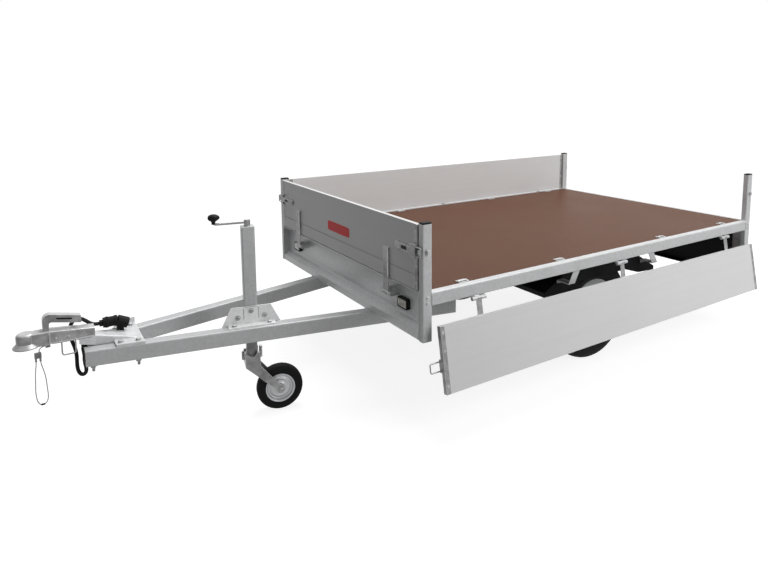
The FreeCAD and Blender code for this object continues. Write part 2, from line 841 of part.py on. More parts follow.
guide_wire = "guide_bar/2"
guide_low = f"({HOUSING_BOTTOM} - guide_depth)"
guide = bent_wire("housing_guide", "xz", [
    ("-guide_rear", f"{HOUSING_BOTTOM} + guide_bar"), ("-guide_rear", f"{guide_low} + guide_bend", QUARTER),
    ("-guide_rear + guide_bend", guide_low), ("-guide_front - guide_bend", guide_low, QUARTER),
    ("-guide_front", f"{guide_low} + guide_bend"), ("-guide_front", f"{HOUSING_BOTTOM} + guide_bar")],
    guide_wire, "0", "neck_width/2 - housing_wall/2", "0")
housing_solid = fuse("housing_solid", [housing("housing_shell", "0", HOUSING_BOTTOM, "press_round"), guide])
node(cut("coupling_housing", housing_solid,
         housing("housing_hollow", "housing_wall", f"({HOUSING_BOTTOM} - overrun)",
                                                    "(press_round - housing_wall)")))

head_dome = turned("head_dome", [
    ("0", "-head_skirt"), ("head_radius + lip_reach", "-head_skirt"),
    ("head_radius + lip_reach", "-head_skirt + lip_thickness"),
    ("head_radius", "-head_skirt + lip_thickness + lip_reach"),
    ("head_radius", "head_crown - head_round", QUARTER), ("head_radius - head_round", "head_crown"),
    ("0", "head_crown")], "0", "0", "0", "xz", "V_Axis")
head_neck = lofted("head_neck", [
    ("(-neck_back)", hood(("(-neck_width/2)", "(neck_width/2)"), ("(-head_skirt)", "neck_top"),
                          "press_round")),
    ("0", hood(("(-neck_width/2)", "(neck_width/2)"), ("(-head_skirt)", "neck_top"), "press_round"))])
socket_ball = doc.addObject("Part::Sphere", "socket_ball")
bind(socket_ball, "Radius", "ball_radius + ball_clearance")
socket_mouth = rod("socket_mouth", "z", "ball_radius + ball_clearance", "-head_skirt - overrun", "0",
                   ("0", "0"))
node(cut("coupling_head", fuse("head_solid", [head_dome, head_neck]),
         fuse("socket", [socket_ball, socket_mouth])))

# The release handle: an upturned channel that rises from the neck and runs back over the housing
HANDLE_UNDER = "(handle_top - handle_depth)"
handle_shell = prism("handle_shell", "xz", [
    ("-handle_front", "neck_top"), ("-handle_front", "handle_top - handle_bend", QUARTER),
    ("-handle_front - handle_bend", "handle_top"), ("-handle_rear", "handle_top - handle_fall"),
    ("-handle_rear", f"{HANDLE_UNDER} - handle_fall"),
    ("-handle_front - handle_leg - press_round", f"{HANDLE_UNDER} - handle_wall", -QUARTER),
    ("-handle_front - handle_leg", f"{HANDLE_UNDER} - handle_wall - press_round"),
    ("-handle_front - handle_leg", "neck_top")],
    "-handle_width/2", "handle_width/2")
handle_hollow = prism("handle_hollow", "xz", [
    ("-handle_front - handle_wall", "neck_top - overrun"),
    ("-handle_front - handle_wall", "handle_top - handle_bend", QUARTER),
    ("-handle_front - handle_bend", "handle_top - handle_wall"),
    ("-handle_rear - overrun", "handle_top - handle_fall - handle_wall"),
    ("-handle_rear - overrun", "neck_top - overrun")],
    "-handle_width/2 + handle_wall", "handle_width/2 - handle_wall")
handle_foot = box("handle_foot", ("-handle_front - handle_wall", "-handle_front + handle_foot_reach"),
                  ("-handle_width/2 + handle_wall", "handle_width/2 - handle_wall"),
                  ("neck_top", "neck_top + handle_wall"))
node(fuse("coupling_handle", [cut("handle_sheet", handle_shell, handle_hollow), handle_foot]))

# Jockey wheel jack, in line with the left arm and on its inner side
ARM_ANGLE = math.degrees(math.atan(num(ARM_SLOPE)))
ALONG_ARM = Rotation(Vector(0, 0, 1), -ARM_ANGLE)
JACK_X = "(-jack_behind)"
JACK_Y = (f"({arm_y(JACK_X, 'arm_width')}"
          f" - (bracket_thickness + jack_tube/2)*sqrt(1 + {ARM_SLOPE}^2))")
JACK_TOP = "jack_rise"
CASTER_Z = f"({GROUND} + caster_radius)"
LEG_END = "(-jack_inner_end)"


def at_jack(label, parts):
    """Parts drawn about the jack's own upright, set beside the arm and in line with it."""
    whole = fuse(label, parts) if len(parts) > 1 else group(label, parts)
    whole.Placement = Placement(Vector(num(JACK_X), num(JACK_Y), 0), ALONG_ARM)
    for axis, expression in zip("xy", (JACK_X, JACK_Y)):
        bind(whole, f".Placement.Base.{axis}", expression)
    return whole


def square_tube(label, width, wall, low, high):
    sides = (f"(-{width}/2)", f"({width}/2)")
    return prism(label, "xy", tube_outline(sides, sides, wall), low, high)


sleeve = square_tube("jack_sleeve", "jack_tube", "jack_tube_wall", "-jack_tube_end", JACK_TOP)
sides = ("(-jack_tube/2)", "(jack_tube/2)")
jack_lid = prism("jack_lid_plate", "xy", round_box(sides, sides, "(jack_tube_wall + bend_radius)"), JACK_TOP,
                 f"{JACK_TOP} + jack_lid")
node(at_jack("jack_outer_tube", [sleeve, jack_lid]))

# The crank, with its black knob
LID_TOP = f"({JACK_TOP} + jack_lid)"
crank_hub = rod("crank_hub", "z", "crank_hub_radius", LID_TOP, f"{LID_TOP} + crank_hub_height", ("0", "0"))
ROD_Z = f"({LID_TOP} + crank_hub_height - crank_rod_radius*2)"
PIN_TOP = f"({ROD_Z} + crank_bend + crank_rod_radius)"
crank_rod = bent_wire("crank_rod", "xz", [
    ("0", ROD_Z), ("crank_reach - crank_bend", ROD_Z, QUARTER), ("crank_reach", f"{ROD_Z} + crank_bend"),
    ("crank_reach", PIN_TOP)], "crank_rod_radius", "0", "0", "0")
node(at_jack("jack_crank", [crank_hub, crank_rod]))
CAP_LOW = f"({PIN_TOP} + knob_rise)"
KNOB_DOME_SHARE = 0.3
knob = turned("knob", [
    ("0", PIN_TOP), ("knob_stem_radius", PIN_TOP), ("knob_stem_radius", CAP_LOW), ("knob_radius", CAP_LOW),
    ("knob_radius", f"{CAP_LOW} + knob_rim", KNOB_DOME_SHARE),
    ("knob_flat_radius", f"{CAP_LOW} + knob_height"),
    ("0", f"{CAP_LOW} + knob_height")],
    "crank_reach", "0", "0", "xz", "V_Axis")
node(at_jack("jack_knob", [knob]))

# Bracket: a plate between the jack and the arm, with a foot lying on the arm
BRACKET_Y = "(jack_tube/2)"
bracket_plate = prism("bracket_plate", "xz", [
    ("-bracket_foot_width/2", ARM_BOTTOM), ("bracket_foot_width/2", ARM_BOTTOM),
    ("bracket_foot_width/2", ARM_TOP),
    ("bracket_top_width/2", f"{ARM_TOP} + bracket_rise"),
    ("-bracket_top_width/2", f"{ARM_TOP} + bracket_rise"),
    ("-bracket_foot_width/2", ARM_TOP)],
    BRACKET_Y, f"{BRACKET_Y} + bracket_thickness")
bracket_foot = box("bracket_flange", ("-bracket_foot_length/2", "bracket_foot_length/2"),
                   (f"{BRACKET_Y}", f"{BRACKET_Y} + bracket_foot"),
                   (ARM_TOP, f"{ARM_TOP} + bracket_thickness"))
node(at_jack("jack_bracket", [bracket_plate, bracket_foot]))

LEG_WIDTH = "(jack_tube - 2*jack_tube_wall - 2*running_gap)"
node(at_jack("jack_inner_tube", [square_tube("leg_tube", LEG_WIDTH, "jack_leg_wall", LEG_END,
                                             "jack_inner_top")]))

# The fork: a pressed head with ears beside the leg, and two cheeks that sweep back to the wheel's pin
FORK_TOP = f"({LEG_END} - running_gap)"
FORK_BASE = f"({LEG_END} - running_gap - fork_head_height)"
CHEEK_IN = "(caster_width/2 + fork_gap)"
CHEEK_OUT = "(caster_width/2 + fork_gap + fork_plate)"
PIN_AT = ("(-caster_trail)", CASTER_Z)


def fork_cheek(label, low, high):
    return prism(label, "xz", [
        ("fork_head_half", FORK_BASE), ("fork_head_half", f"{FORK_TOP} + ear_front_rise"),
        ("fork_head_half - ear_width", f"{FORK_TOP} + ear_front_rise"),
        ("fork_head_half - 2*ear_width", FORK_TOP), ("-fork_head_half + 2*ear_width", FORK_TOP),
        ("-fork_head_half + ear_width", f"{FORK_TOP} + ear_rear_rise"),
        ("-fork_head_half", f"{FORK_TOP} + ear_rear_rise"), ("-fork_head_half", FORK_BASE),
        ("-caster_trail - fork_half_width", CASTER_Z, QUARTER),
        ("-caster_trail", f"{CASTER_Z} - fork_half_width", QUARTER),
        ("-caster_trail + fork_half_width", CASTER_Z)],
        low, high)


crown = box("fork_crown_plate", ("-fork_head_half", "fork_head_half"), (f"-{CHEEK_IN}", CHEEK_IN),
            (f"{FORK_TOP} - fork_crown", FORK_TOP))
web = box("fork_front_web", ("fork_head_half - fork_plate", "fork_head_half"), (f"-{CHEEK_IN}", CHEEK_IN),
          (FORK_BASE, FORK_TOP))
cheeks = [fork_cheek("fork_cheek_left", CHEEK_IN, CHEEK_OUT),
          fork_cheek("fork_cheek_right", f"-{CHEEK_OUT}", f"-{CHEEK_IN}")]
pin = rod("caster_pin_bar", "y", "caster_pin", f"-{CHEEK_OUT} - axle_nut", f"{CHEEK_OUT} + axle_nut", PIN_AT)
collars = [rod("fork_collar_left", "y", "collar_radius", "caster_hub_width/2 + running_gap", CHEEK_IN,
               PIN_AT),
           rod("fork_collar_right", "y", "collar_radius", f"-{CHEEK_IN}",
               "-caster_hub_width/2 - running_gap", PIN_AT)]
node(at_jack("jack_fork", [crown, web, *cheeks, pin, *collars]))

caster_rim = turned("caster_rim", [
    ("-caster_hub_width/2", "caster_pin + running_gap"), ("caster_hub_width/2", "caster_pin + running_gap"),
    ("caster_hub_width/2", "caster_hub_radius"),
    ("caster_disc_wall/2", "caster_hub_radius + caster_disc_wall"),
    ("caster_disc_wall/2", "caster_rim_radius - 2*caster_disc_wall"),
    ("caster_rim_width/2", "caster_rim_radius - caster_disc_wall"),
    ("caster_rim_width/2", "caster_rim_radius"), ("-caster_rim_width/2", "caster_rim_radius"),
    ("-caster_rim_width/2", "caster_rim_radius - caster_disc_wall"),
    ("-caster_disc_wall/2", "caster_rim_radius - 2*caster_disc_wall"),
    ("-caster_disc_wall/2", "caster_hub_radius + caster_disc_wall"),
    ("-caster_hub_width/2", "caster_hub_radius")],
    "-caster_trail", "0", CASTER_Z)
node(at_jack("jack_wheel_rim", [caster_rim]))


TYRE_BULGE_SHARE = 0.2
CASTER_TYRE_SHARES = (0.86, 0.45, 0.84, 0.42)
ROAD_TYRE_SHARES = (0.84, 0.62, 0.92, 0.5)


def tyre_outline(bead, seat, flange, width, radius, shares):
    """A tyre's section: bead between the rim's flanges, bulging sides, shoulders and tread.

    The shares are those of shoulder and tread in the half width, then those of shoulder and side
    in the height above the seat.
    """
    shoulder_share, tread_share, shoulder_reach_share, side_reach_share = shares
    half = f"({width}/2)"
    side = f"({seat} + ({radius} - {seat})*{side_reach_share})"
    shoulder = f"({seat} + ({radius} - {seat})*{shoulder_reach_share})"
    heel = f"({seat} + {flange})"
    ahead = [(bead, seat), (bead, heel, TYRE_BULGE_SHARE)] if flange else [(bead, seat, TYRE_BULGE_SHARE)]
    behind = [(f"-{bead}", heel)] if flange else []
    return [(f"-{bead}", seat), *ahead, (half, side, TYRE_BULGE_SHARE),
            (f"{half}*{shoulder_share}", shoulder, TYRE_BULGE_SHARE), (f"{half}*{tread_share}", radius),
            (f"-{half}*{tread_share}", radius, TYRE_BULGE_SHARE),
            (f"-{half}*{shoulder_share}", shoulder, TYRE_BULGE_SHARE), (f"-{half}", side, TYRE_BULGE_SHARE),
            *behind]


caster_section = tyre_outline("caster_rim_width/2", "caster_rim_radius", "", "caster_width", "caster_radius",
                              CASTER_TYRE_SHARES)
caster_tyre = turned("caster_tyre", caster_section, "-caster_trail", "0", CASTER_Z)
node(at_jack("jack_wheel_tyre", [caster_tyre]))

# Axle: a torsion tube below the chassis rails, with a trailing arm and stub each side
TUBE_X = f"({AXLE_X} + swing_ahead)"
TUBE_Z = f"({BEAM_BOTTOM} - axle_bracket_thickness - axle_tube_radius)"
tube = rod("torsion_tube", "y", "axle_tube_radius", f"-{SWING_IN}", SWING_IN, (TUBE_X, TUBE_Z))
seat = box("axle_seat", (f"{TUBE_X} - axle_bracket_length/2", f"{TUBE_X} + axle_bracket_length/2"),
           (CHASSIS_IN, CHASSIS_OUT), (TUBE_Z, BEAM_BOTTOM))
node(fuse("axle_tube", [tube, seat, mirrored("axle_seat_right", seat)]))

boss = rod("swing_boss", "y", "swing_radius", SWING_IN, SWING_OUT, (TUBE_X, TUBE_Z))
foot = rod("swing_foot", "y", "swing_radius", SWING_IN, SWING_OUT, (AXLE_X, AXLE_Z))
blade = prism("swing_blade", "xz", [
    (TUBE_X, f"{TUBE_Z} + swing_radius*swing_blade_share"),
    (AXLE_X, f"{AXLE_Z} + swing_radius*swing_blade_share"),
    (AXLE_X, f"{AXLE_Z} - swing_radius*swing_blade_share"),
    (TUBE_X, f"{TUBE_Z} - swing_radius*swing_blade_share")],
    SWING_IN, SWING_OUT)
stub = rod("stub", "y", "stub_radius", SWING_OUT, f"{TRACK} + disc_offset - running_gap", (AXLE_X, AXLE_Z))
node(both_sides("axle_arms", [fuse("swing_arm", [boss, foot, blade, stub])]))

# Road wheels: a dished rim with a ring of vents, hub and tyre, drawn about the wheel's centre
DISH_OUT = "(rim_radius*dish_out_share)"
DISH_IN = "(rim_radius*dish_in_share)"
BARREL_IN = "(rim_radius - rim_wall)"
rim, rim_sketch = outlined("wheel_rim_left", "yz", [
    ("-rim_half_width", BARREL_IN), ("disc_offset + disc_dish", BARREL_IN),
    ("disc_offset + disc_dish", DISH_OUT),
    ("disc_offset", DISH_IN), ("disc_offset", "hub_cap_radius"),
    ("disc_offset + disc_wall", "hub_cap_radius"),
    ("disc_offset + disc_wall", DISH_IN), ("disc_offset + disc_dish + disc_wall", DISH_OUT),
    ("disc_offset + disc_dish + disc_wall", BARREL_IN), ("rim_half_width", BARREL_IN),
    ("rim_half_width", "rim_radius + rim_flange"), ("rim_half_width - rim_wall", "rim_radius + rim_flange"),
    ("rim_half_width - rim_wall", "rim_radius"), ("-rim_half_width + rim_wall", "rim_radius"),
    ("-rim_half_width + rim_wall", "rim_radius + rim_flange"),
    ("-rim_half_width", "rim_radius + rim_flange")])
rim_turn = rim.newObject("PartDesign::Revolution", "rim_turn")
rim_turn.Profile = rim_sketch
rim_turn.ReferenceAxis = (rim_sketch, ["H_Axis"])
rim_turn.Angle = 360
vent_sketch = new_sketch(rim, "rim_vent", "xz")
ring(vent_sketch, "vent_circle", "0", "vent_radius")
vent = rim.newObject("PartDesign::Pocket", "rim_vent_pocket")
vent.Profile = vent_sketch
vent.Type = "ThroughAll"
vent.Midplane = True
vents = rim.newObject("PartDesign::PolarPattern", "rim_vents")
vents.Originals = [vent]
vents.Axis = (origin_plane(rim, "Y_Axis"), [""])
vents.Angle = 360
bind(vents, "Occurrences", "vent_count")
rim.Tip = vents
node(place(rim, AXLE_X, TRACK, AXLE_Z))
node(mirrored("wheel_rim_right", rim))

tyre_section = tyre_outline("(rim_half_width - rim_wall)", "rim_radius", "rim_flange", "tyre_width",
                            "wheel_radius", ROAD_TYRE_SHARES)
tyre = turned("tyre_left", tyre_section, AXLE_X, TRACK, AXLE_Z)
node(tyre)
node(mirrored("tyre_right", tyre))

HUB_IN = "(hub_to_arm - tyre_width/2 - tyre_to_arm)"
HUB_END = "(disc_offset + disc_wall + hub_cap_length)"
CAP_OUT = "(hub_cap_radius - disc_wall)"
hub_left = turned("hub_left", [
    (HUB_IN, "stub_radius + running_gap"), ("disc_offset", "stub_radius + running_gap"), ("disc_offset", "0"),
    (HUB_END, "0"), (HUB_END, f"{CAP_OUT} - bend_radius", QUARTER), (f"{HUB_END} - bend_radius", CAP_OUT),
    ("disc_offset", CAP_OUT), ("disc_offset", "hub_radius"), ("disc_offset - hub_flange", "hub_radius"),
    ("disc_offset - hub_flange", "hub_barrel"), (HUB_IN, "hub_barrel")],
    AXLE_X, TRACK, AXLE_Z)
node(hub_left)
node(mirrored("hub_right", hub_left))

# Mudguards with flat tops, and the stays that hang them from the side rails
GUARD_TOP = f"({DECK} - guard_top)"
GUARD_OUT = f"({TRACK} + guard_outboard)"


def guard_path(inset):
    """Half of the guard's outline from the middle forwards, moved in by inset."""
    return [("guard_half_flat", f"{GUARD_TOP} - {inset}"),
            ("guard_half_bend", f"{DECK} - guard_bend_drop - {inset}"),
            (f"guard_half - {inset}", f"{DECK} - guard_end_drop - {inset}"),
            (f"guard_half - {inset}", f"{DECK} - guard_end_drop - guard_lip")]


def both_ways(ahead, behind):
    """Points ahead of the axle, then points behind it, given by their distance from it."""
    return [(f"{AXLE_X} + {x}", z) for x, z in ahead] + [(f"{AXLE_X} - ({x})", z) for x, z in behind]


guard_over = guard_path("0")
guard_under = guard_path("guard_wall")
guard_section = both_ways(guard_over + guard_under[::-1], guard_under + guard_over[::-1])
guard_sheet = prism("guard_sheet", "xz", guard_section, f"{TRACK} - guard_inboard", GUARD_OUT)
skirt_low = [("guard_half", f"{DECK} - guard_end_drop - guard_lip"),
             ("guard_half_bend", f"{DECK} - guard_bend_drop - guard_skirt"),
             ("guard_half_flat", f"{GUARD_TOP} - guard_skirt")]
skirt_section = both_ways(guard_over[:3] + skirt_low, skirt_low[::-1] + guard_over[2::-1])
skirt = prism("guard_skirt_sheet", "xz", skirt_section, f"{GUARD_OUT} - guard_wall", GUARD_OUT)
node(both_sides("mudguards", [fuse("mudguard", [guard_sheet, skirt])]))

STAY_OUT = f"({SIDE} - stay_inset)"


def stay(label, sign, lean):
    """A strap from the rail's lower flange down, then inwards to a foot on the guard's skirt."""
    x = f"{AXLE_X} {sign} stay_half_spread"
    low = f"({DECK} - stay_foot_drop - stay_thickness)"
    top = f"{x} {lean} stay_lean"
    strap = prism(label + "_strap", "xz", [
        (f"{x} - stay_width/2", low), (f"{x} + stay_width/2", low), (f"{top} + stay_width/2", RAIL_BOTTOM),
        (f"{top} - stay_width/2", RAIL_BOTTOM)], f"{STAY_OUT} - stay_thickness", STAY_OUT)
    xs = (f"{x} - stay_width/2", f"{x} + stay_width/2")
    arm = box(label + "_arm", xs, (GUARD_OUT, STAY_OUT), (low, f"{low} + stay_thickness"))
    foot = box(label + "_foot", xs, (GUARD_OUT, f"{GUARD_OUT} + stay_thickness"),
               (f"{low} - stay_foot_height", f"{low} + stay_thickness"))
    return fuse(label, [strap, arm, foot])


node(both_sides("mudguard_stays", [stay("front_stay", "+", "-"), stay("rear_stay", "-", "+")]))

# Boards: each is drawn closed, standing above the rails between the posts
BOARD_LOW = f"({DECK} + board_gap)"
BOARD_TOP = f"({DECK} + board_gap + board_height)"
BOARD_FRONT = f"({FRONT} - post_along - board_gap)"
BOARD_REAR = f"({REAR} + post_along + board_gap)"
BOARD_SIDE = f"({RAIL_IN} - board_gap)"


def board_outline(outer, inner):
    """A plank section with a groove across its outer face; outer and inner are its two faces."""
    sign = "-" if num(inner) < num(outer) else "+"
    deep = f"{outer} {sign} groove_depth"
    low = f"({BOARD_LOW} + groove_height)"
    high = f"({BOARD_LOW} + groove_height + groove_width)"
    return [(outer, BOARD_LOW), (outer, low), (deep, low), (deep, high), (outer, high), (outer, BOARD_TOP),
            (inner, BOARD_TOP), (inner, BOARD_LOW)]


def end_cap(label, plane, end, way, outer, inner):
    """A folded strip round a board's end; way leads from the end into the board."""
    back = f"({end} {way} end_cap_width)"
    edge = f"({end} {way} end_cap_wall)"
    out = "+" if num(outer) > num(inner) else "-"
    into = "-" if out == "+" else "+"
    points = [(end, f"{outer} {out} end_cap_wall"), (back, f"{outer} {out} end_cap_wall"), (back, outer),
              (edge, outer), (edge, inner), (back, inner), (back, f"{inner} {into} end_cap_wall"),
              (end, f"{inner} {into} end_cap_wall")]
    if plane == "yx":
        points = [point[::-1] for point in points]
    return prism(label, "xy", points, BOARD_LOW, BOARD_TOP)


# Over-centre latches: a base plate, a lever, a yoke and a wire loop that reaches over the post round its hook
LATCH_Z = f"({BOARD_LOW} + board_height*latch_height_share)"


def latch(label, plane, end, way, face, out, loop_end):
    """A latch at a board's end; way leads into the board and out away from its face."""
    def between(near, far, thick, half, name):
        us = [f"({end} {way} {near})", f"({end} {way} {far})"]
        vs = [face, f"({face} {out} {thick})"]
        us = us if way == "+" else us[::-1]
        vs = vs if out == "+" else vs[::-1]
        xs, ys = (us, vs) if plane == "xy" else (vs, us)
        return box(f"{label}_{name}", xs, ys, (f"{LATCH_Z} - {half}", f"{LATCH_Z} + {half}"))

    lever_points = [(f"{end} {way} end_cap_width", face),
                    (f"{end} {way} end_cap_width", f"{face} {out} latch_thickness"),
                    (f"{end} {way} latch_length*lever_full_share", f"{face} {out} latch_thickness"),
                    (f"{end} {way} latch_length", f"{face} {out} latch_thickness/2"),
                    (f"{end} {way} latch_length", face)]
    if plane == "yx":
        lever_points = [point[::-1] for point in lever_points]
    lever = prism(label + "_lever", "xy", lever_points, f"{LATCH_Z} - latch_width/2",
                  f"{LATCH_Z} + latch_width/2")
    base = between("end_cap_width", "(latch_length - latch_plate_width/2)", "latch_plate",
                   "latch_plate_width/2", "base")
    yoke = between("0", "(end_cap_width + latch_yoke_length)", "latch_thickness",
                   "(loop_height/2 + latch_yoke_margin)", "yoke")
    wire = f"({face} {out} (loop_lift + loop_wire/2))"
    half = "((loop_height - loop_wire)/2)"
    start = f"({end} {way} loop_wire)"
    bend = f"({loop_end} {way} loop_bend)"
    first, then = "-+" if num(loop_end) > num(start) else "+-"
    path = [(start, f"{LATCH_Z} {first} {half}"), (bend, f"{LATCH_Z} {first} {half}", QUARTER),
            (loop_end, f"{LATCH_Z} {first} ({half} - loop_bend)"),
            (loop_end, f"{LATCH_Z} {then} ({half} - loop_bend)", QUARTER),
            (bend, f"{LATCH_Z} {then} {half}"), (start, f"{LATCH_Z} {then} {half}")]
    if plane == "xy":
        loop = bent_wire(label + "_loop", "xz", path, "loop_wire/2", "0", wire, "0")
    else:
        loop = bent_wire(label + "_loop", "yz", path, "loop_wire/2", wire, "0", "0")
    return [lever, base, yoke, loop]


# Side boards: hinge lines beside the rails, lugs below the rails and straps on the boards
HINGE_Y = f"({SIDE} + hinge_out)"
HINGE_Z = f"({DECK} - hinge_drop)"
SIDE_HINGES = [f"({FRONT} - bed_length*side_hinge_first_share)", f"({FRONT} - bed_length/2)",
               f"({REAR} + bed_length*side_hinge_first_share)"]
STRAP_IN = f"({SIDE} + hinge_out - strap_thickness/2)"
STRAP_OUT = f"({SIDE} + hinge_out + strap_thickness/2)"


def side_lugs(label, x):
    """Two short tubes beside the knuckle, each on a plate under the rail."""
    pieces = []
    for name, sign in (("a", "+"), ("b", "-")):
        near = f"({x} {sign} (knuckle_length/2 + running_gap))"
        far = f"({x} {sign} (knuckle_length/2 + running_gap + lug_length))"
        low, high = (near, far) if sign == "+" else (far, near)
        pipe = rod(f"{label}_pipe_{name}", "x", "hinge_radius", low, high, (HINGE_Y, HINGE_Z))
        shelf = box(f"{label}_shelf_{name}", (low, high), (RAIL_IN, HINGE_Y),
                    (f"{RAIL_BOTTOM} - lug_plate", RAIL_BOTTOM))
        pieces.append(fuse(f"{label}_lug_{name}", [pipe, shelf]))
    return pieces


def side_strap(label, x):
    xs = (f"{x} - strap_width/2", f"{x} + strap_width/2")
    strap = box(label + "_strap", xs, (STRAP_IN, STRAP_OUT), (HINGE_Z, f"{BOARD_LOW} + strap_reach"))
    pad = box(label + "_pad", xs, (SIDE, STRAP_OUT), (BOARD_LOW, f"{BOARD_LOW} + strap_reach"))
    knuckle = rod(label + "_knuckle", "x", "hinge_radius", f"{x} - knuckle_length/2",
                  f"{x} + knuckle_length/2",
                  (HINGE_Y, HINGE_Z))
    return fuse(label, [strap, pad, knuckle])


BOARD_IN = f"({SIDE} - board_thickness)"
plank = prism("side_plank", "yz", board_outline(SIDE, BOARD_IN), f"{BOARD_REAR} + end_cap_wall",
              f"{BOARD_FRONT} - end_cap_wall")
side_fittings = [side_strap(f"side_strap_{i + 1}", x) for i, x in enumerate(SIDE_HINGES)]
side_fittings.append(fuse("side_latch_front", [
    end_cap("side_cap_front", "xy", BOARD_FRONT, "-", SIDE, BOARD_IN),
    *latch("side_front_latch", "xy", BOARD_FRONT, "-", SIDE, "+", f"({FRONT} - loop_wire/2)")]))
side_fittings.append(fuse("side_latch_rear", [
    end_cap("side_cap_rear", "xy", BOARD_REAR, "+", SIDE, BOARD_IN),
    *latch("side_rear_latch", "xy", BOARD_REAR, "+", SIDE, "+", f"({REAR} + loop_wire/2)")]))
side_set = group("side_fittings", side_fittings)
ALONG_X = Vector(1, 0, 0)
OPEN_TURN = -num("open_angle")
node(swung("left_board", plank, ALONG_X, OPEN_TURN, "0", HINGE_Y, HINGE_Z))
node(swung("left_board_fittings", side_set, ALONG_X, OPEN_TURN, "0", HINGE_Y, HINGE_Z))
node(mirrored("right_board", plank))
node(mirrored("right_board_fittings", side_set))
lugs = []
for i, x in enumerate(SIDE_HINGES):
    lugs += side_lugs(f"side_hinge_{i + 1}", x)


def end_strap(label, face, pivot_x, pivot_z, out, width, reach):
    """A strap on a board's outer face down to its hinge, with the knuckle on the hinge line."""
    ahead = num(pivot_x) > num(face)
    near = f"({pivot_x} - strap_thickness/2)"
    far = f"({pivot_x} + strap_thickness/2)"
    ys = (f"{out} - {width}/2", f"{out} + {width}/2")
    strap = box(label + "_strap", (near, far), ys, (pivot_z, f"{BOARD_LOW} + {reach}"))
    pad = box(label + "_pad", (face, far) if ahead else (near, face), ys,
              (BOARD_LOW, f"{BOARD_LOW} + {reach}"))
    barrel = rod(label + "_knuckle", "y", "hinge_radius", *ys, (pivot_x, pivot_z))
    return fuse(label, [strap, pad, barrel])


def end_lugs(label, back, pivot_x, pivot_z, out, width):
    """Two lugs beside a knuckle, from the beam or rail out to the hinge line."""
    low, high = (back, pivot_x) if num(back) < num(pivot_x) else (pivot_x, back)
    pieces = []
    for name, sign in (("a", "+"), ("b", "-")):
        near = f"({out} {sign} ({width}/2 + running_gap))"
        far = f"({out} {sign} ({width}/2 + running_gap + lug_length))"
        ys = (near, far) if sign == "+" else (far, near)
        arm = box(f"{label}_arm_{name}", (low, high), ys,
                  (f"{pivot_z} - hinge_radius", f"{pivot_z} + hinge_radius"))
        pipe = rod(f"{label}_pipe_{name}", "y", "hinge_radius", ys[0], ys[1], (pivot_x, pivot_z))
        pieces.append(fuse(f"{label}_lug_{name}", [arm, pipe]))
    return pieces


def end_fittings(label, face, inner, out, strap):
    """A board's strap, end cap and latch on the left, and the same on the right."""
    cap = end_cap(label + "_cap", "yx", BOARD_SIDE, "-", face, inner)
    closer = fuse(label + "_latch", [cap, *latch(label + "_closer", "yx", BOARD_SIDE, "-", face, out,
                                                 f"({SIDE} - loop_wire/2)")])
    return both_sides(label + "_fittings", [strap, closer])


# Headboard, hinged low in front of the beam so that it folds forwards
HEAD_HINGE_X = f"({FRONT} + hinge_out)"
HEAD_IN = f"({FRONT} - board_thickness)"
BOARD_HALF = f"({BOARD_SIDE} - end_cap_wall)"
node(prism("headboard", "xz", board_outline(FRONT, HEAD_IN), f"-{BOARD_HALF}", BOARD_HALF))
head_strap = end_strap("head_strap", FRONT, HEAD_HINGE_X, HINGE_Z, "head_strap_out", "head_strap_width",
                       "head_strap_reach")
node(end_fittings("headboard", FRONT, HEAD_IN, "+", head_strap))
lugs += end_lugs("head_hinge", f"({WEB} + rail_wall)", HEAD_HINGE_X, HINGE_Z, "head_strap_out",
                 "head_strap_width")

# Tailgate, dropped behind the lamp carrier
TAIL_HINGE_X = f"({REAR} - tail_hinge_out)"
TAIL_HINGE_Z = f"({DECK} - tail_hinge_drop)"
GATE_IN = f"({REAR} + board_thickness)"
gate = prism("tailgate_plank", "xz", board_outline(REAR, GATE_IN), f"-{BOARD_HALF}", BOARD_HALF)
tail_strap = end_strap("tail_strap", REAR, TAIL_HINGE_X, TAIL_HINGE_Z, "tail_strap_out", "strap_width",
                       "strap_reach")
tail_closed = end_fittings("tailgate_closed", REAR, GATE_IN, "-", tail_strap)
ALONG_Y = Vector(0, 1, 0)
HALF_TURN = 180
node(swung("tailgate", gate, ALONG_Y, -HALF_TURN, TAIL_HINGE_X, "0", TAIL_HINGE_Z))
node(swung("tailgate_fittings", tail_closed, ALONG_Y, -HALF_TURN, TAIL_HINGE_X, "0", TAIL_HINGE_Z))
lugs += end_lugs("tail_hinge", REAR, TAIL_HINGE_X, TAIL_HINGE_Z, "tail_strap_out", "strap_width")
node(both_sides("hinge_lugs", lugs))


# Hooks on the posts for the latches' loops, each a block with a lip
def post_hook(label, plane, middle_at, face, way):
    mid = (f"({middle_at} - hook_width/2)", f"({middle_at} + hook_width/2)")
    pieces = []
    for name, near, far, height in (("block", "0", "hook_reach", "hook_width"),
                                    ("lip", "hook_reach", "(hook_reach + hook_lip)", "hook_lip_height")):
        ends = [f"({face} {way} {depth})" for depth in (near, far)]
        ends = ends if way == "+" else ends[::-1]
        xs, ys = (mid, ends) if plane == "xy" else (ends, mid)
        pieces.append(box(f"{label}_{name}", xs, ys, (f"{LATCH_Z} - {height}/2", f"{LATCH_Z} + {height}/2")))
    return fuse(label, pieces)


post_middle = f"({SIDE} - post_across/2)"
node(both_sides("post_hooks", [
    post_hook("front_end_hook", "yx", post_middle, FRONT, "+"),
    post_hook("front_side_hook", "xy", f"({FRONT} - post_along/2)", SIDE, "+"),
    post_hook("rear_end_hook", "yx", post_middle, REAR, "-"),
    post_hook("rear_side_hook", "xy", f"({REAR} + post_along/2)", SIDE, "+")]))


# Cords: straight runs joined by tangent arcs
ARC_REACH_SHARE = 0.45


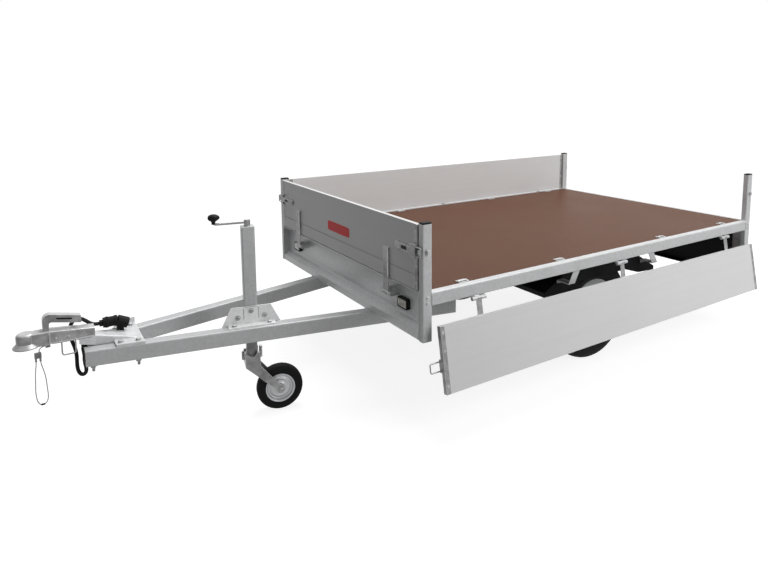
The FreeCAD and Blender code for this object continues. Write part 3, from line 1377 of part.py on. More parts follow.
def rounded_path(points):
    """Edges through the points, each corner replaced by an arc as large as its shorter run allows."""
    edges = []
    radii = []
    last = points[0]
    for before, corner, after in zip(points, points[1:], points[2:]):
        into = (corner - before).normalize()
        out = (after - corner).normalize()
        shorter = min((corner - before).Length, (after - corner).Length)
        turn = into.getAngle(out)
        reach = ARC_REACH_SHARE * shorter
        radii.append(reach / math.tan(turn / 2))
        start = corner - into * reach
        end = corner + out * reach
        bisector = (out - into).normalize()
        crest = corner + bisector * (radii[-1] / math.cos(turn / 2) - radii[-1])
        edges.append(Part.LineSegment(last, start).toShape())
        edges.append(Part.Arc(start, crest, end).toShape())
        last = end
    edges.append(Part.LineSegment(last, points[-1]).toShape())
    return Part.Wire(edges), radii


def cord(label, points, diameter):
    """A tube along a route; prints its bend radii and how its volume compares with section times length."""
    route = [Vector(*p) for p in points]
    path, radii = rounded_path(route)
    circle = Part.Circle(route[0], route[1] - route[0], num(diameter) / 2)
    profile = Part.Wire([circle.toShape()])
    solid = path.makePipeShell([profile], True, False, 2)
    item = doc.addObject("Part::Feature", label)
    item.Label = label
    item.Shape = solid
    expected = math.pi * num(diameter) ** 2 / 4 * path.Length
    print(label, "length", round(path.Length), "radii", [round(r) for r in radii],
          "volume ratio", round(solid.Volume / expected, 4))
    return item


# Safety cable: a short strand from its eye below the coupling to a clip, and a loop hanging from the clip
eye_plate = box("cable_eye_plate", ("-neck_back", "-neck_back + cable_eye_length"),
                ("-cable_eye_thickness/2", "cable_eye_thickness/2"),
                ("-head_skirt - cable_eye_height", "-head_skirt"))
clip_block = prism("cable_clip_block", "xz",
                   round_box(("-clip_behind - clip_width/2", "-clip_behind + clip_width/2"),
                             ("-clip_drop - clip_length/2", "-clip_drop + clip_length/2"), "bend_radius"),
                   "-clip_thickness/2", "clip_thickness/2")
node(group("cable_eye_and_clip", [eye_plate, clip_block]))
STRAND_ROUTE = [(-66, 0, -38), (-58, 0, -38), (-48, 0, -42), (-42, 0, -51), (-42, 0, -60)]
node(cord("safety_cable_strand", STRAND_ROUTE, "cable_diameter"))
LOOP_ROUTE = [(-29, 0, -84), (-29, 0, -106), (-25, 2, -132), (-22, 3, -162), (-21, 4, -190), (-19, 6, -218),
              (-20, 8, -244), (-23, 10, -265), (-31, 11, -279), (-42, 12, -283), (-54, 12, -277),
              (-61, 12, -264),
              (-63, 11, -242), (-61, 9, -214), (-60, 8, -184), (-57, 6, -156), (-51, 3, -130), (-45, 0, -106),
              (-45, 0, -84)]
node(cord("safety_cable_loop", LOOP_ROUTE, "cable_diameter"))

# Electric lead: out of a gland below the coupling, down in a loop, then up and back to the parked plug
LEAD_ROUTE = [(-208, 2, -78), (-208, 2, -98), (-205, 0, -122), (-206, -3, -148), (-209, -6, -170),
              (-206, -9, -190),
              (-193, -12, -202), (-176, -15, -200), (-165, -18, -185), (-163, -22, -163), (-168, -27, -140),
              (-173, -34, -114), (-172, -40, -87), (-166, -45, -60), (-161, -47, -33), (-160, -47, -6),
              (-166, -47, 19), (-181, -46, 37), (-203, -46, 38), (-224, -46, 22), (-241, -44, 6),
              (-258, -40, 0),
              (-275, -40, 0)]
node(cord("electric_lead", LEAD_ROUTE, "lead_diameter"))
gland = rod("gland_body", "z", "gland_radius", "-gland_drop", f"{HOUSING_BOTTOM} - flare_wall",
            ("-gland_behind", "0"))
plug_line = ("-plug_out", "0")
plug_boot_end = rod("plug_boot_end", "x", "plug_boot_radius", "-plug_behind", "-plug_behind + plug_boot",
                    plug_line)
plug_body = rod("plug_body", "x", "plug_radius", "-plug_behind - plug_length", "-plug_behind", plug_line)
node(fuse("lead_plug", [plug_body, plug_boot_end]))

# Parking cup for the plug: a collar, a body tilted down behind it and a foot on the adapter's flare
CUP_X = "(-plug_behind - plug_length - collar_length)"
collar = rod("holder_collar", "x", "holder_radius", CUP_X, "-plug_behind - plug_length", plug_line)
CUP_DOWN = Rotation(ALONG_Y, -90 - num("holder_tilt"))
cup = doc.addObject("Part::Cylinder", "holder_cup")
bind(cup, "Radius", "holder_radius")
bind(cup, "Height", "holder_length")
place(cup, CUP_X, "-plug_out", "0", CUP_DOWN)
FOOT_FRONT = f"({CUP_X} + bend_radius)"
FOOT_REAR = f"({CUP_X} - holder_foot)"
holder_foot = prism("holder_foot_block", "xz", [
    (FOOT_REAR, flare_top(FOOT_REAR)), (FOOT_FRONT, flare_top(FOOT_FRONT)), (FOOT_FRONT, "0"),
    (FOOT_REAR, "0")],
    "-plug_out - holder_foot/2", "-plug_out + holder_foot/2")
holder = fuse("plug_holder", [collar, cup, holder_foot])

# Plastic plugs in the open front ends of the arms
end_plug = arm_length("arm_end_plug", ARM_FRONT, f"({ARM_FRONT} - end_plug_depth)", "arm_wall", "bend_radius")
node(group("drawbar_plastics", [gland, holder, end_plug, mirrored("arm_end_plug_right", end_plug)]))

doc.recompute()
broken = [o.Label for o in doc.Objects if {"Invalid", "Error"} & set(o.State)]
if broken:
    raise RuntimeError(f"objects that failed to build: {broken}")
for item in NODES:
    if item.Shape.isNull() or not item.Shape.isValid() or not item.Shape.Solids:
        raise RuntimeError(f"{item.Label} has no valid solid")

os.makedirs("parts", exist_ok=True)
for item in NODES:
    item.Shape.exportStep(f"parts/{item.Label}.step")
print(len(NODES), "nodes written")
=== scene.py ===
import json
import math

import bpy
import numpy as np
from mathutils import Matrix, Vector


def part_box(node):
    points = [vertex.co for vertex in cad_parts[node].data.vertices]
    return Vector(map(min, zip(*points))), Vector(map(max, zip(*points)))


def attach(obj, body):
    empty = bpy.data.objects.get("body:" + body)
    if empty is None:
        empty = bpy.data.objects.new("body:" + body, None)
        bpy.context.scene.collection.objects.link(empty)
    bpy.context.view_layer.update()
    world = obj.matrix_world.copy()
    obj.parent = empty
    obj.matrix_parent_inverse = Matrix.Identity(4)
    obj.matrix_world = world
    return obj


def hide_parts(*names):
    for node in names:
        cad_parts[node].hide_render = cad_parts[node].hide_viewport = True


bl_info = {
    "name": "Drop side trailer dressing",
    "version": (1, 0, 0),
    "blender": (4, 5, 0),
    "location": "View3D > Sidebar > Trailer",
    "description": "Finishes, tyres, cords and fasteners of a drop side trailer",
    "category": "Object",
}

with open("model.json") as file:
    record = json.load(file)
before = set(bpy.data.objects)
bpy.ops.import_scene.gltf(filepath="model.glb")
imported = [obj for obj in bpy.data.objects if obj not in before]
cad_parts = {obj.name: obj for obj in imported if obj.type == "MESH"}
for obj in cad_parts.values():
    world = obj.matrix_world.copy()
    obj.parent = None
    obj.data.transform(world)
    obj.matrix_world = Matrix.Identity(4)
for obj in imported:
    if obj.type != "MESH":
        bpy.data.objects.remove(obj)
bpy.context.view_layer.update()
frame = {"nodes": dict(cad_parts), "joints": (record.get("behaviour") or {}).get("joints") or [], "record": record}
JOINTS = {joint["name"]: joint for joint in frame["joints"]}

# Sizes that several pieces share, in metres
STRIP_SKIN = 0.0015
STRIP_HALF = 0.011
BOARD_THICKNESS = 0.020
POST_DEPTH = 0.048
FLOOR_SIDE_Y = 0.761
LATCH_SHARE = 0.6
HINGE_SHARE = 0.116
HEAD_STRAP_Y = 0.505
TAIL_STRAP_Y = 0.520
ARM_FRONT_X, ARM_FRONT_Y, ARM_HALF = -0.204, 0.084, 0.030

# Places taken from the frame, in metres
POST_LOW, POST_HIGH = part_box("corner_posts")
REAR_X, FRONT_X = POST_LOW[0], POST_HIGH[0]
SIDE_Y = POST_HIGH[1]
DECK_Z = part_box("floor_panel")[1][2]
GROUND_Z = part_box("tyre_left")[0][2]
BOARD_LOW_Z, BOARD_TOP_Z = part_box("headboard")[0][2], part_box("headboard")[1][2]
BOARD_FRONT_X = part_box("right_board")[1][0] + STRIP_SKIN
BOARD_REAR_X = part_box("right_board")[0][0] - STRIP_SKIN
BOARD_SIDE_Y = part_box("headboard")[1][1] + STRIP_SKIN
LATCH_Z = BOARD_LOW_Z + LATCH_SHARE * (BOARD_TOP_Z - BOARD_LOW_Z)
RIVET_ZS = BOARD_LOW_Z + np.array([0.030, 0.105, 0.255])
PIVOTS = {name: np.array(joint["pos_m"], float) for name, joint in JOINTS.items() if "pos_m" in joint}
SIDE_HINGE, TAIL_HINGE = PIVOTS["left_board_lift"], PIVOTS["tailgate_lift"]
WHEEL, CASTER, JACK = PIVOTS["left_wheel_spin"], PIVOTS["jack_wheel_spin"], PIVOTS["jack_swivel"]
OPEN_ANGLE = math.radians(JOINTS["left_board_lift"]["range_deg"][1])
CASTER_AXIS = np.array(JOINTS["jack_wheel_spin"]["axis"], float)
JACK_AXES = np.array([[CASTER_AXIS[1], -CASTER_AXIS[0], 0], [CASTER_AXIS[0], CASTER_AXIS[1], 0], [0, 0, 1]])
UP = np.array([0.0, 0.0, 1.0])


# Surfaces

def add(name, data):
    """Puts a new object into the scene."""
    piece = bpy.data.objects.new(name, data)
    bpy.context.scene.collection.objects.link(piece)
    return piece


def dress(piece, body, slot, finish=None):
    """Gives a piece the finish named, or else the one with its slot's name, and its body and slot."""
    piece.data.materials.append(FINISHES[finish or slot])
    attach(piece, body)


def put(name, points, quads, tris=(), body=None, slot=None, finish=None, smooth=True):
    """Makes a mesh object from whole arrays of points and faces, and dresses it if it has a body."""
    points = np.asarray(points, np.float32).reshape(-1, 3)
    quads = np.asarray(quads, np.int32).reshape(-1, 4)
    tris = np.asarray(tris, np.int32).reshape(-1, 3)
    mesh = bpy.data.meshes.new(name)
    mesh.vertices.add(len(points))
    mesh.vertices.foreach_set("co", points.ravel())
    corners = np.concatenate([quads.ravel(), tris.ravel()])
    sizes = np.concatenate([np.full(len(quads), 4), np.full(len(tris), 3)]).astype(np.int32)
    mesh.loops.add(len(corners))
    mesh.loops.foreach_set("vertex_index", corners)
    mesh.polygons.add(len(sizes))
    mesh.polygons.foreach_set("loop_start", np.concatenate([[0], np.cumsum(sizes)[:-1]]).astype(np.int32))
    mesh.polygons.foreach_set("use_smooth", np.full(len(sizes), smooth))
    mesh.update(calc_edges=True)
    piece = add(name, mesh)
    if body:
        dress(piece, body, slot, finish)
    return piece


def lattice(rows, columns, wrap_rows=False):
    """Quads of a grid whose columns always close on themselves; rows close when wrap_rows is set."""
    row = np.arange(rows if wrap_rows else rows - 1)[:, None]
    column = np.arange(columns)[None, :]
    near, far = row * columns, (row + 1) % rows * columns
    beside = (column + 1) % columns
    corners = [near + column, near + beside, far + beside, far + column]
    return np.stack(np.broadcast_arrays(*corners), -1).reshape(-1, 4)


def closed_stacks(rows, sides, copies):
    """Quads and triangles of copies of a closed stack of outlines, whose last two points are its poles."""
    size = rows * sides + 2
    turn = np.arange(sides)
    after = (turn + 1) % sides
    last = (rows - 1) * sides
    low = np.stack([np.full(sides, size - 2), after, turn], -1)
    high = np.stack([np.full(sides, size - 1), last + turn, last + after], -1)
    shift = (np.arange(copies) * size)[:, None, None]
    return lattice(rows, sides)[None] + shift, np.concatenate([low, high])[None] + shift


def frames_for(directions):
    """Two unit vectors square to each direction: the cross product with up, or with forward where
    it is upright."""
    directions = np.asarray(directions, float)
    directions = directions / np.linalg.norm(directions, axis=1, keepdims=True)
    helper = np.where(np.abs(directions[:, 2:3]) > 0.9, [[1.0, 0.0, 0.0]], [[0.0, 0.0, 1.0]])
    first = np.cross(helper, directions)
    first /= np.linalg.norm(first, axis=1, keepdims=True)
    return first, np.cross(directions, first), directions


def stacked(name, local, places, body, slot, finish, smooth):
    """Copies of one closed stack of outlines on many places.

    local holds rows of points in the head's own axes, from its foot to its top. A place is a point
    and the direction that the head faces. A pole in the middle of the first and last row closes it.
    """
    rows, sides = local.shape[:2]
    places = np.asarray(places, float).reshape(-1, 6)
    poles = [[0, 0, local[0, 0, 2]], [0, 0, local[-1, 0, 2]]]
    local = np.concatenate([local.reshape(-1, 3), poles])
    across, beside, out = (axis[:, None] for axis in frames_for(places[:, 3:]))
    x, y, z = (local[None, :, i:i + 1] for i in range(3))
    points = places[:, None, :3] + x * across + y * beside + z * out
    return put(name, points, *closed_stacks(rows, sides, len(places)), body, slot, finish, smooth)


def heads(name, rows, places, body, slot="zinc_plated_steel", finish=None, sides=24, smooth=False, lobes=6):
    """Copies of one turned head on many places.

    A row is (radius, height, flatness): the radius at an angle a is the row's radius times
    1 + flatness * (1 / cos(a folded into one lobe's turn) - 1), so flatness 1 with six lobes gives
    a hexagon.
    """
    rows = np.asarray(rows, float)
    angle = np.arange(sides) * 2 * math.pi / sides
    half = math.pi / lobes
    folded = (angle + half) % (2 * half) - half
    radius = rows[:, :1] * (1 + rows[:, 2:3] * (1 / np.cos(folded)[None, :] - 1))
    height = np.repeat(rows[:, 1:2], sides, 1)
    local = np.stack([radius * np.cos(angle), radius * np.sin(angle), height], -1)
    return stacked(name, local, places, body, slot, finish, smooth)


def pads(name, rows, half, places, body, slot, finish=None, power=0.25, sides=48):
    """Copies of one flat pad with rounded corners on many places.

    Its outline is half * cos(a) to the power across and half * sin(a) to the power beside, and a
    row is (inset, height): that outline drawn in by the inset at that height.
    """
    rows = np.asarray(rows, float)
    angle = (np.arange(sides) + 0.5) * 2 * math.pi / sides
    across = np.sign(np.cos(angle)) * np.abs(np.cos(angle)) ** power
    beside = np.sign(np.sin(angle)) * np.abs(np.sin(angle)) ** power
    local = np.stack([(half[0] - rows[:, :1]) * across, (half[1] - rows[:, :1]) * beside,
                      np.repeat(rows[:, 1:2], sides, 1)], -1)
    return stacked(name, local, places, body, slot, finish, False)


def beads(name, runs, radius, body, slot, ripple=0.22, pitch=0.0055, rows=40, sides=10):
    """Weld beads on many straight runs: along each, circles of radius * sqrt(sin(pi t)) near its ends
    and radius * (1 + ripple * sin(2 pi * distance / pitch)) between, t going from 0 to 1."""
    runs = np.asarray(runs, float).reshape(-1, 2, 3)
    span = runs[:, 1] - runs[:, 0]
    length = np.linalg.norm(span, axis=1)
    t = np.linspace(0.004, 0.996, rows)
    close = np.clip(np.sin(math.pi * t) * 4, 0, 1) ** 0.5
    size = radius * close * (1 + ripple * np.sin(2 * math.pi * t * length[:, None] / pitch))
    across, beside, _ = frames_for(span)
    angle = np.arange(sides) * 2 * math.pi / sides
    ring = np.cos(angle)[None, :, None] * across[:, None] + np.sin(angle)[None, :, None] * beside[:, None]
    centre = runs[:, :1] + t[None, :, None] * span[:, None]
    points = centre[:, :, None] + size[:, :, None, None] * ring[:, None]
    points = np.concatenate([points.reshape(len(runs), -1, 3), centre[:, [0, -1]]], 1)
    return put(name, points, *closed_stacks(rows, sides, len(runs)), body, slot)


def rods(name, runs, radius, body):
    """Plain round rods with domed ends, which are weld beads without a ripple."""
    return beads(name, runs, radius, body, "zinc_plated_steel", 0.0, rows=30, sides=12)


def ring_points(centre, axis, radial, width):
    """Points about an axis: radial and width go round with their first index, and along the section
    with their second."""
    around = len(radial)
    angle = np.arange(around) * 2 * math.pi / around
    first, second, out = (v[0] for v in frames_for([axis]))
    spoke = np.cos(angle)[:, None, None] * first + np.sin(angle)[:, None, None] * second
    return centre + radial[..., None] * spoke + width[..., None] * out


HEX = [(0.0085, 0, 0), (0.0085, 0.0012, 0), (0.0058, 0.0012, 1), (0.0058, 0.0052, 1), (0.0050, 0.0060, 0.4)]
BIG_HEX = [(0.0125, 0, 0), (0.0125, 0.0020, 0), (0.0090, 0.0020, 1), (0.0090, 0.0085, 1),
           (0.0078, 0.0096, 0.4)]
PIN_NUT = [(0.0105, 0, 1), (0.0105, 0.007, 1), (0.0088, 0.0082, 0.4)]
DOME = [(0.0060, 0, 0), (0.0060, 0.0006, 0), (0.0052, 0.0019, 0), (0.0034, 0.0029, 0), (0.0014, 0.0033, 0)]
RIVET = [(0.0060, 0, 0), (0.0060, 0.0003, 0), (0.0050, 0.0010, 0), (0.0030, 0.0012, 0), (0.0024, 0.0008, 0)]
STUD = [(0.0125, 0, 0), (0.0125, 0.0022, 0), (0.0098, 0.0022, 1), (0.0098, 0.0112, 1), (0.0060, 0.0118, 0),
        (0.0060, 0.0260, 0), (0.0048, 0.0280, 0)]
PIN = [(0.0052, 0, 0), (0.0052, 0.0020, 0), (0.0040, 0.0032, 0), (0.0018, 0.0036, 0)]
CRIMP = [(0.0026, 0, 0), (0.0038, 0.0010, 0), (0.0040, 0.0050, 0), (0.0033, 0.0070, 0), (0.0040, 0.0090, 0),
         (0.0038, 0.0140, 0), (0.0026, 0.0150, 0)]
KNOB = [(0.0070, 0, 0), (0.0090, 0.0020, 0), (0.0085, 0.0100, 0), (0.0110, 0.0150, 0),
        (0.0190, 0.0200, 0.3), (0.0240, 0.0270, 0.6), (0.0245, 0.0330, 0.7), (0.0220, 0.0400, 0.4),
        (0.0140, 0.0450, 0.1), (0.0050, 0.0470, 0)]
COLLAR = [(0.0222, 0, 0), (0.0232, 0.0010, 5), (0.0232, 0.0130, 5), (0.0222, 0.0140, 0)]
# A black pad on a latch lever: painted shadow of the gaps there
LATCH_SHADOW_PAD = [(0, 0), (0.0004, 0.0006), (0.0016, 0.0010)]
# A raised strip on a strap's edge, drawn in the lighter zinc as a painted highlight
HEM_PAD = [(0, 0), (0, 0.0011), (0.0005, 0.0016)]


def about(points, pivot, axis, angle):
    """Points turned about an axis through a pivot, by the turning formula of a unit axis."""
    points = np.asarray(points, float) - pivot
    axis = np.asarray(axis, float)
    turned = (points * math.cos(angle) + np.cross(axis, points) * math.sin(angle)
              + np.outer(points @ axis, axis) * (1 - math.cos(angle)))
    return turned + pivot


def carried(places, pivot, axis, angle):
    """Head places that swing with a board: points turn about the hinge, directions about their own root."""
    places = np.asarray(places, float).reshape(-1, 6)
    points = about(places[:, :3], pivot, axis, angle)
    return np.hstack([points, about(places[:, 3:], np.zeros(3), axis, angle)])


def other_side(places):
    """Head places mirrored to the trailer's other side."""
    return np.asarray(places, float).reshape(-1, 6) * [1, -1, 1, 1, -1, 1]


def both_sides(start, end):
    """A straight run and its mirror image on the trailer's other side."""
    return [[np.multiply(start, (1, s, 1)), np.multiply(end, (1, s, 1))] for s in (1, -1)]


# Finishes

class Signal:
    """A shader socket with arithmetic: each operator adds the Math node that does it."""

    def __init__(self, graph, socket):
        self.graph = graph
        self.socket = socket

    def _with(self, operation, first, second):
        return self.graph.node("Math", {"operation": operation}, [first, second])

    def __add__(self, other):
        return self._with("ADD", self, other)

    __radd__ = __add__

    def __sub__(self, other):
        return self._with("SUBTRACT", self, other)

    def __rsub__(self, other):
        return self._with("SUBTRACT", other, self)

    def __mul__(self, other):
        return self._with("MULTIPLY", self, other)

    __rmul__ = __mul__

    def limited(self):
        """Kept between 0 and 1."""
        return self.graph.node("Clamp", {}, [self])

    def above(self, edge, width):
        """0 below the edge and 1 above it, with a soft step of the given width."""
        return self.graph.node("MapRange", {"interpolation_type": "SMOOTHSTEP"},
                               {"Value": self, "From Min": edge - width / 2, "From Max": edge + width / 2})

    def larger(self, other):
        """The larger of the two."""
        return self._with("MAXIMUM", self, other)


class Graph:
    """A node tree in which every node comes from one method."""

    def __init__(self, tree):
        self.tree = tree

    def node(self, kind, settings, inputs, out=0):
        """A shader node of a kind, with its settings set first and its sockets' values or links after."""
        made = self.tree.nodes.new("ShaderNode" + kind)
        for key, value in settings.items():
            setattr(made, key, value)
        pairs = inputs.items() if isinstance(inputs, dict) else enumerate(inputs)
        for key, value in pairs:
            socket = made.inputs[key]
            if isinstance(value, Signal):
                self.tree.links.new(value.socket, socket)
            else:
                socket.default_value = value
        return Signal(self, made.outputs[out])

    def background_rays(self):
        """1 for the rays that see the backdrop: those of the camera, of reflections and through glass."""
        camera, glossy, through = (self.node("LightPath", {}, {}, out=f"Is {kind} Ray")
                                   for kind in ("Camera", "Glossy", "Transmission"))
        return camera.larger(glossy).larger(through)


class Finish(Graph):
    """A material on the Principled shader, whose constants are set by name."""

    def __init__(self, name, **constants):
        self.material = bpy.data.materials.new(name)
        self.material.use_nodes = True
        super().__init__(self.material.node_tree)
        self.shader = self.tree.nodes["Principled BSDF"]
        for key, value in constants.items():
            self.shader.inputs[key.replace("_", " ")].default_value = value
        self.place = self.node("TexCoord", {}, {}, out="Object")

    def noise(self, scale, detail=3.0, place=None):
        """Cloudy noise on a place, which is the object's own coordinates unless another is given."""
        return self.node("TexNoise", {}, {"Vector": place or self.place, "Scale": scale, "Detail": detail})

    def stretched(self, x, y, z):
        """Object coordinates scaled along each axis, for grain that runs one way."""
        return self.node("VectorMath", {"operation": "MULTIPLY"}, [self.place, (x, y, z)])

    def mix(self, factor, first, second):
        """One colour turning into another as the factor goes from 0 to 1."""
        first, second = (value if isinstance(value, Signal) else (*value, 1) for value in (first, second))
        return self.node("Mix", {"data_type": "RGBA"}, {0: factor, 6: first, 7: second}, out=2)

    def edge(self, distance):
        """1 at outer edges and 0 on flats, from how far a rounded normal turns away from the face's own."""
        rounded = self.node("Bevel", {"samples": 4}, {"Radius": distance})
        own = self.node("NewGeometry", {}, {}, out="Normal")
        agreement = self.node("VectorMath", {"operation": "DOT_PRODUCT"}, [rounded, own], out="Value")
        return ((1 - agreement) * 5).limited()

    def done(self, paint, roughness, height=None, distance=0.0, strength=0.0):
        """The material, once its colour, roughness and the bump of a height are linked to the shader."""
        sockets = {"Base Color": paint, "Roughness": roughness}
        if height:
            sockets["Normal"] = self.node("Bump", {}, {"Height": height, "Distance": distance,
                                                       "Strength": strength})
        for key, value in sockets.items():
            self.tree.links.new(value.socket, self.shader.inputs[key])
        return self.material


def shade(colour, factor):
    return tuple(min(1.0, channel * factor) for channel in colour)


def galvanised(name, colour, shaded_above=None):
    """Hot dip zinc: overlapping spangle cells of slightly different grey, faint runs, dull patches and
    brighter rubbed edges. Grime is the height in metres above which the road film has gathered."""
    f = Finish(name, Metallic=0.18)
    cells = f.node("TexVoronoi", {}, {"Vector": f.place, "Scale": 95.0, "Randomness": 1.0}, out="Color")
    cell = f.node("SeparateColor", {}, [cells])
    cloud = f.noise(9.0, 4.0)
    fine = f.noise(240.0, 2.0)
    tone = cell * 0.30 + cloud * 0.50 + fine * 0.2
    paint = f.mix(tone, shade(colour, 0.80), shade(colour, 1.20))
    if shaded_above:
        # Painted shade: darker above the height given, where the headboard overhangs the beam
        height = f.node("SeparateXYZ", {}, [f.place], out="Z")
        paint = f.mix((height + cloud * 0.05).above(shaded_above, 0.10) * 0.55, paint, shade(colour, 0.35))
    # Painted highlight: edges drawn brighter
    paint = f.mix(f.edge(0.0030), paint, shade(colour, 2.0))
    return f.done(paint, 0.26 + cell * 0.12 + cloud * 0.22, fine * 0.4 + cell * 0.3 + cloud, 0.0006, 0.35)


def zinc_plate(name, colour):
    """Bright plated steel: faint drawn lines, clouds, rubbed edges and whiter tops."""
    f = Finish(name, Metallic=0.28)
    cloud = f.noise(30.0, 3.0)
    broad = f.noise(7.0, 2.0)
    lines = f.noise(400.0, 2.0, f.stretched(0.2, 1.0, 1.0))
    paint = f.mix((cloud * 0.5 + broad * 0.5).above(0.5, 0.35), shade(colour, 0.45), shade(colour, 1.00))
    # Painted highlight: faces that point up in the object's own axes are drawn whiter, as if lit from above
    upward = f.node("SeparateXYZ", {}, [f.node("TexCoord", {}, {}, out="Normal")], out="Z")
    paint = f.mix(upward.above(0.62, 0.6) * 0.55, paint, shade(colour, 2.0))
    # Painted highlight: edges drawn whiter
    paint = f.mix(f.edge(0.0024), paint, shade(colour, 2.3))
    return f.done(paint, 0.20 + cloud * 0.16 + lines * 0.08, lines, 0.0003, 0.3)


def anodised(name, colour, grain):
    """Satin aluminium board: long fine draw lines along the board, faint waves and rubbed spots."""
    f = Finish(name, Metallic=0.05, Specular_IOR_Level=0.25)
    lines = f.noise(900.0, 2.0, f.stretched(*grain))
    broad = f.noise(14.0, 3.0, f.stretched(*(4 * share for share in grain)))
    cloud = f.noise(3.0, 3.0)
    tone = lines * 0.4 + broad * 0.3 + cloud * 0.3
    paint = f.mix(tone, shade(colour, 0.90), shade(colour, 1.10))
    return f.done(paint, 0.32 + lines * 0.12 + cloud * 0.14, lines, 0.0002, 0.25)


def film_floor(name, colour):
    """Phenolic film on plywood: a fine pressed mesh, soft cloudy sheen and pale scuffs."""
    f = Finish(name, Specular_IOR_Level=0.04)
    mesh = f.node("TexVoronoi", {"feature": "DISTANCE_TO_EDGE"},
                  {"Vector": f.stretched(1, 1, 0.0), "Scale": 330.0, "Randomness": 0.12})
    cloud = f.noise(1.6, 4.0)
    grain = f.noise(22.0, 4.0, f.stretched(0.25, 1.0, 1.0))
    scuff = f.noise(60.0, 6.0, f.stretched(0.5, 1.0, 1.0)).above(0.66, 0.1)
    wires = 1 - mesh.above(0.10, 0.10)
    paint = f.mix(cloud * 0.5 + grain * 0.5, shade(colour, 0.86), shade(colour, 1.16))
    paint = f.mix(scuff * 0.22, paint, shade(colour, 1.9))
    return f.done(paint, 0.30 + cloud * 0.16 + scuff * 0.15 + wires * 0.06, wires, 0.0003, 0.5)


def moulded(name, colour, roughness=0.5, grain=0.0004):
    """Moulded plastic: a fine leathery grain with dull dust in it."""
    f = Finish(name, Specular_IOR_Level=0.10)
    cells = f.noise(520.0, 2.0)
    cloud = f.noise(8.0, 3.0)
    paint = f.mix(cloud * 0.6 + cells * 0.4, shade(colour, 0.75), shade(colour, 1.5))
    return f.done(paint, roughness - 0.08 + cloud * 0.16, cells, grain, 0.5)


def rubber(name, colour):
    """Tyre rubber: matt, with a grey bloom on raised parts and a faint speckle."""
    f = Finish(name, Specular_IOR_Level=0.10)
    cloud = f.noise(14.0, 4.0)
    speck = f.noise(600.0, 2.0)
    paint = f.mix(cloud * 0.7 + speck * 0.3, shade(colour, 0.7), shade(colour, 1.7))
    return f.done(paint, 0.62 + cloud * 0.2, speck, 0.0002, 0.4)


def painted(name, colour):
    """Silver wheel lacquer: fine flake under a clear coat, with dust towards the middle."""
    f = Finish(name, Metallic=0.45, Coat_Weight=0.35, Coat_Roughness=0.12)
    flake = f.noise(1500.0, 1.0)
    dust = f.noise(18.0, 4.0)
    paint = f.mix(flake * 0.5 + dust * 0.5, shade(colour, 0.85), shade(colour, 1.12))
    return f.done(paint, 0.28 + dust * 0.14)


def lens(name, colour, deep):
    """A moulded lamp lens: a coloured face with fine prisms, deeper in colour between them."""
    f = Finish(name, Coat_Weight=0.6, Coat_Roughness=0.05)
    prisms = f.node("TexVoronoi", {"distance": "CHEBYCHEV"},
                    {"Vector": f.place, "Scale": 160.0, "Randomness": 0.0})
    cloud = f.noise(12.0, 2.0)
    paint = f.mix(prisms * 1.4, colour, deep)
    return f.done(paint, 0.12 + cloud * 0.1, prisms, 0.0008, 0.6)


def strands(name, colour):
    """Stranded wire in a clear sleeve: slanting bands along the cable."""
    f = Finish(name, Metallic=0.5, Coat_Weight=0.5)
    bands = f.node("TexWave", {"wave_type": "BANDS", "bands_direction": "DIAGONAL"},
                   {"Vector": f.place, "Scale": 190.0, "Distortion": 0.4})
    paint = f.mix(bands, shade(colour, 0.6), shade(colour, 1.15))
    return f.done(paint, 0.3 + bands * 0.15, bands, 0.0005, 0.6)


FINISHES = {}


def settings():
    return bpy.context.scene.trailer


def make_finishes():
    """Builds every finish"""
    s = settings()
    zinc, bright, board = tuple(s.galvanised_colour), tuple(s.plated_colour), tuple(s.board_colour)
    FINISHES.update({
        "galvanised_steel": galvanised("hot_dip_zinc", zinc),
        # A lighter copy of the zinc, painted light: the jack bracket and the strap hems drawn as bright as in full
        # light
        "fresh_zinc": galvanised("fresh_zinc", shade(zinc, 1.85)),
        # A lighter copy of the zinc for the coupling adapter, painted light of the top lamp
        "pale_zinc": galvanised("pale_zinc", shade(zinc, 1.35)),
        # A lighter copy of the zinc for the front beam and its ledge, painted darker above 0.125 m as the
        # headboard's shade
        "beam_zinc": galvanised("beam_zinc", shade(zinc, 1.32), shaded_above=0.125),
        "zinc_plated_steel": zinc_plate("bright_zinc", bright),
        # A darker copy of the plated zinc for the jack's inner tube, painted shade standing for its dark
        # reflections
        "drawn_zinc": zinc_plate("drawn_zinc", shade(bright, 0.65)),
        "dull_steel": zinc_plate("dull_steel", shade(bright, 0.45)),
        "board_along": anodised("satin_board_along", board, (0.02, 1.0, 1.0)),
        # A darker copy of the board colour, painted shade of the headboard's face turned from the lamps; the
        # tailgate and the blank's rim share it
        "board_across": anodised("satin_board_across", shade(board, 0.86), (1.0, 0.02, 1.0)),
        "phenolic_plywood": film_floor("film_faced_floor", tuple(s.floor_colour)),
        "black_plastic": moulded("black_moulding", tuple(s.plastic_colour)),
        "tyre_rubber": rubber("tyre_rubber", tuple(s.rubber_colour)),
        "rim_silver": painted("silver_lacquer", tuple(s.rim_colour)),
        "lamp_lens": lens("red_lens", (0.42, 0.015, 0.012), (0.16, 0.006, 0.006)),
        "amber_lens": lens("amber_lens", (0.75, 0.20, 0.01), (0.35, 0.07, 0.004)),
        "clear_lens": lens("clear_lens", (0.66, 0.64, 0.54), (0.30, 0.29, 0.24)),
        "cable_steel": strands("stranded_wire", (0.26, 0.26, 0.27)),
        "lead_rubber": moulded("lead_sheath", (0.022, 0.022, 0.024), 0.6),
        "blank_red": moulded("red_enamel", (0.80, 0.010, 0.014), 0.32, 0.0001),
    })


# Cords

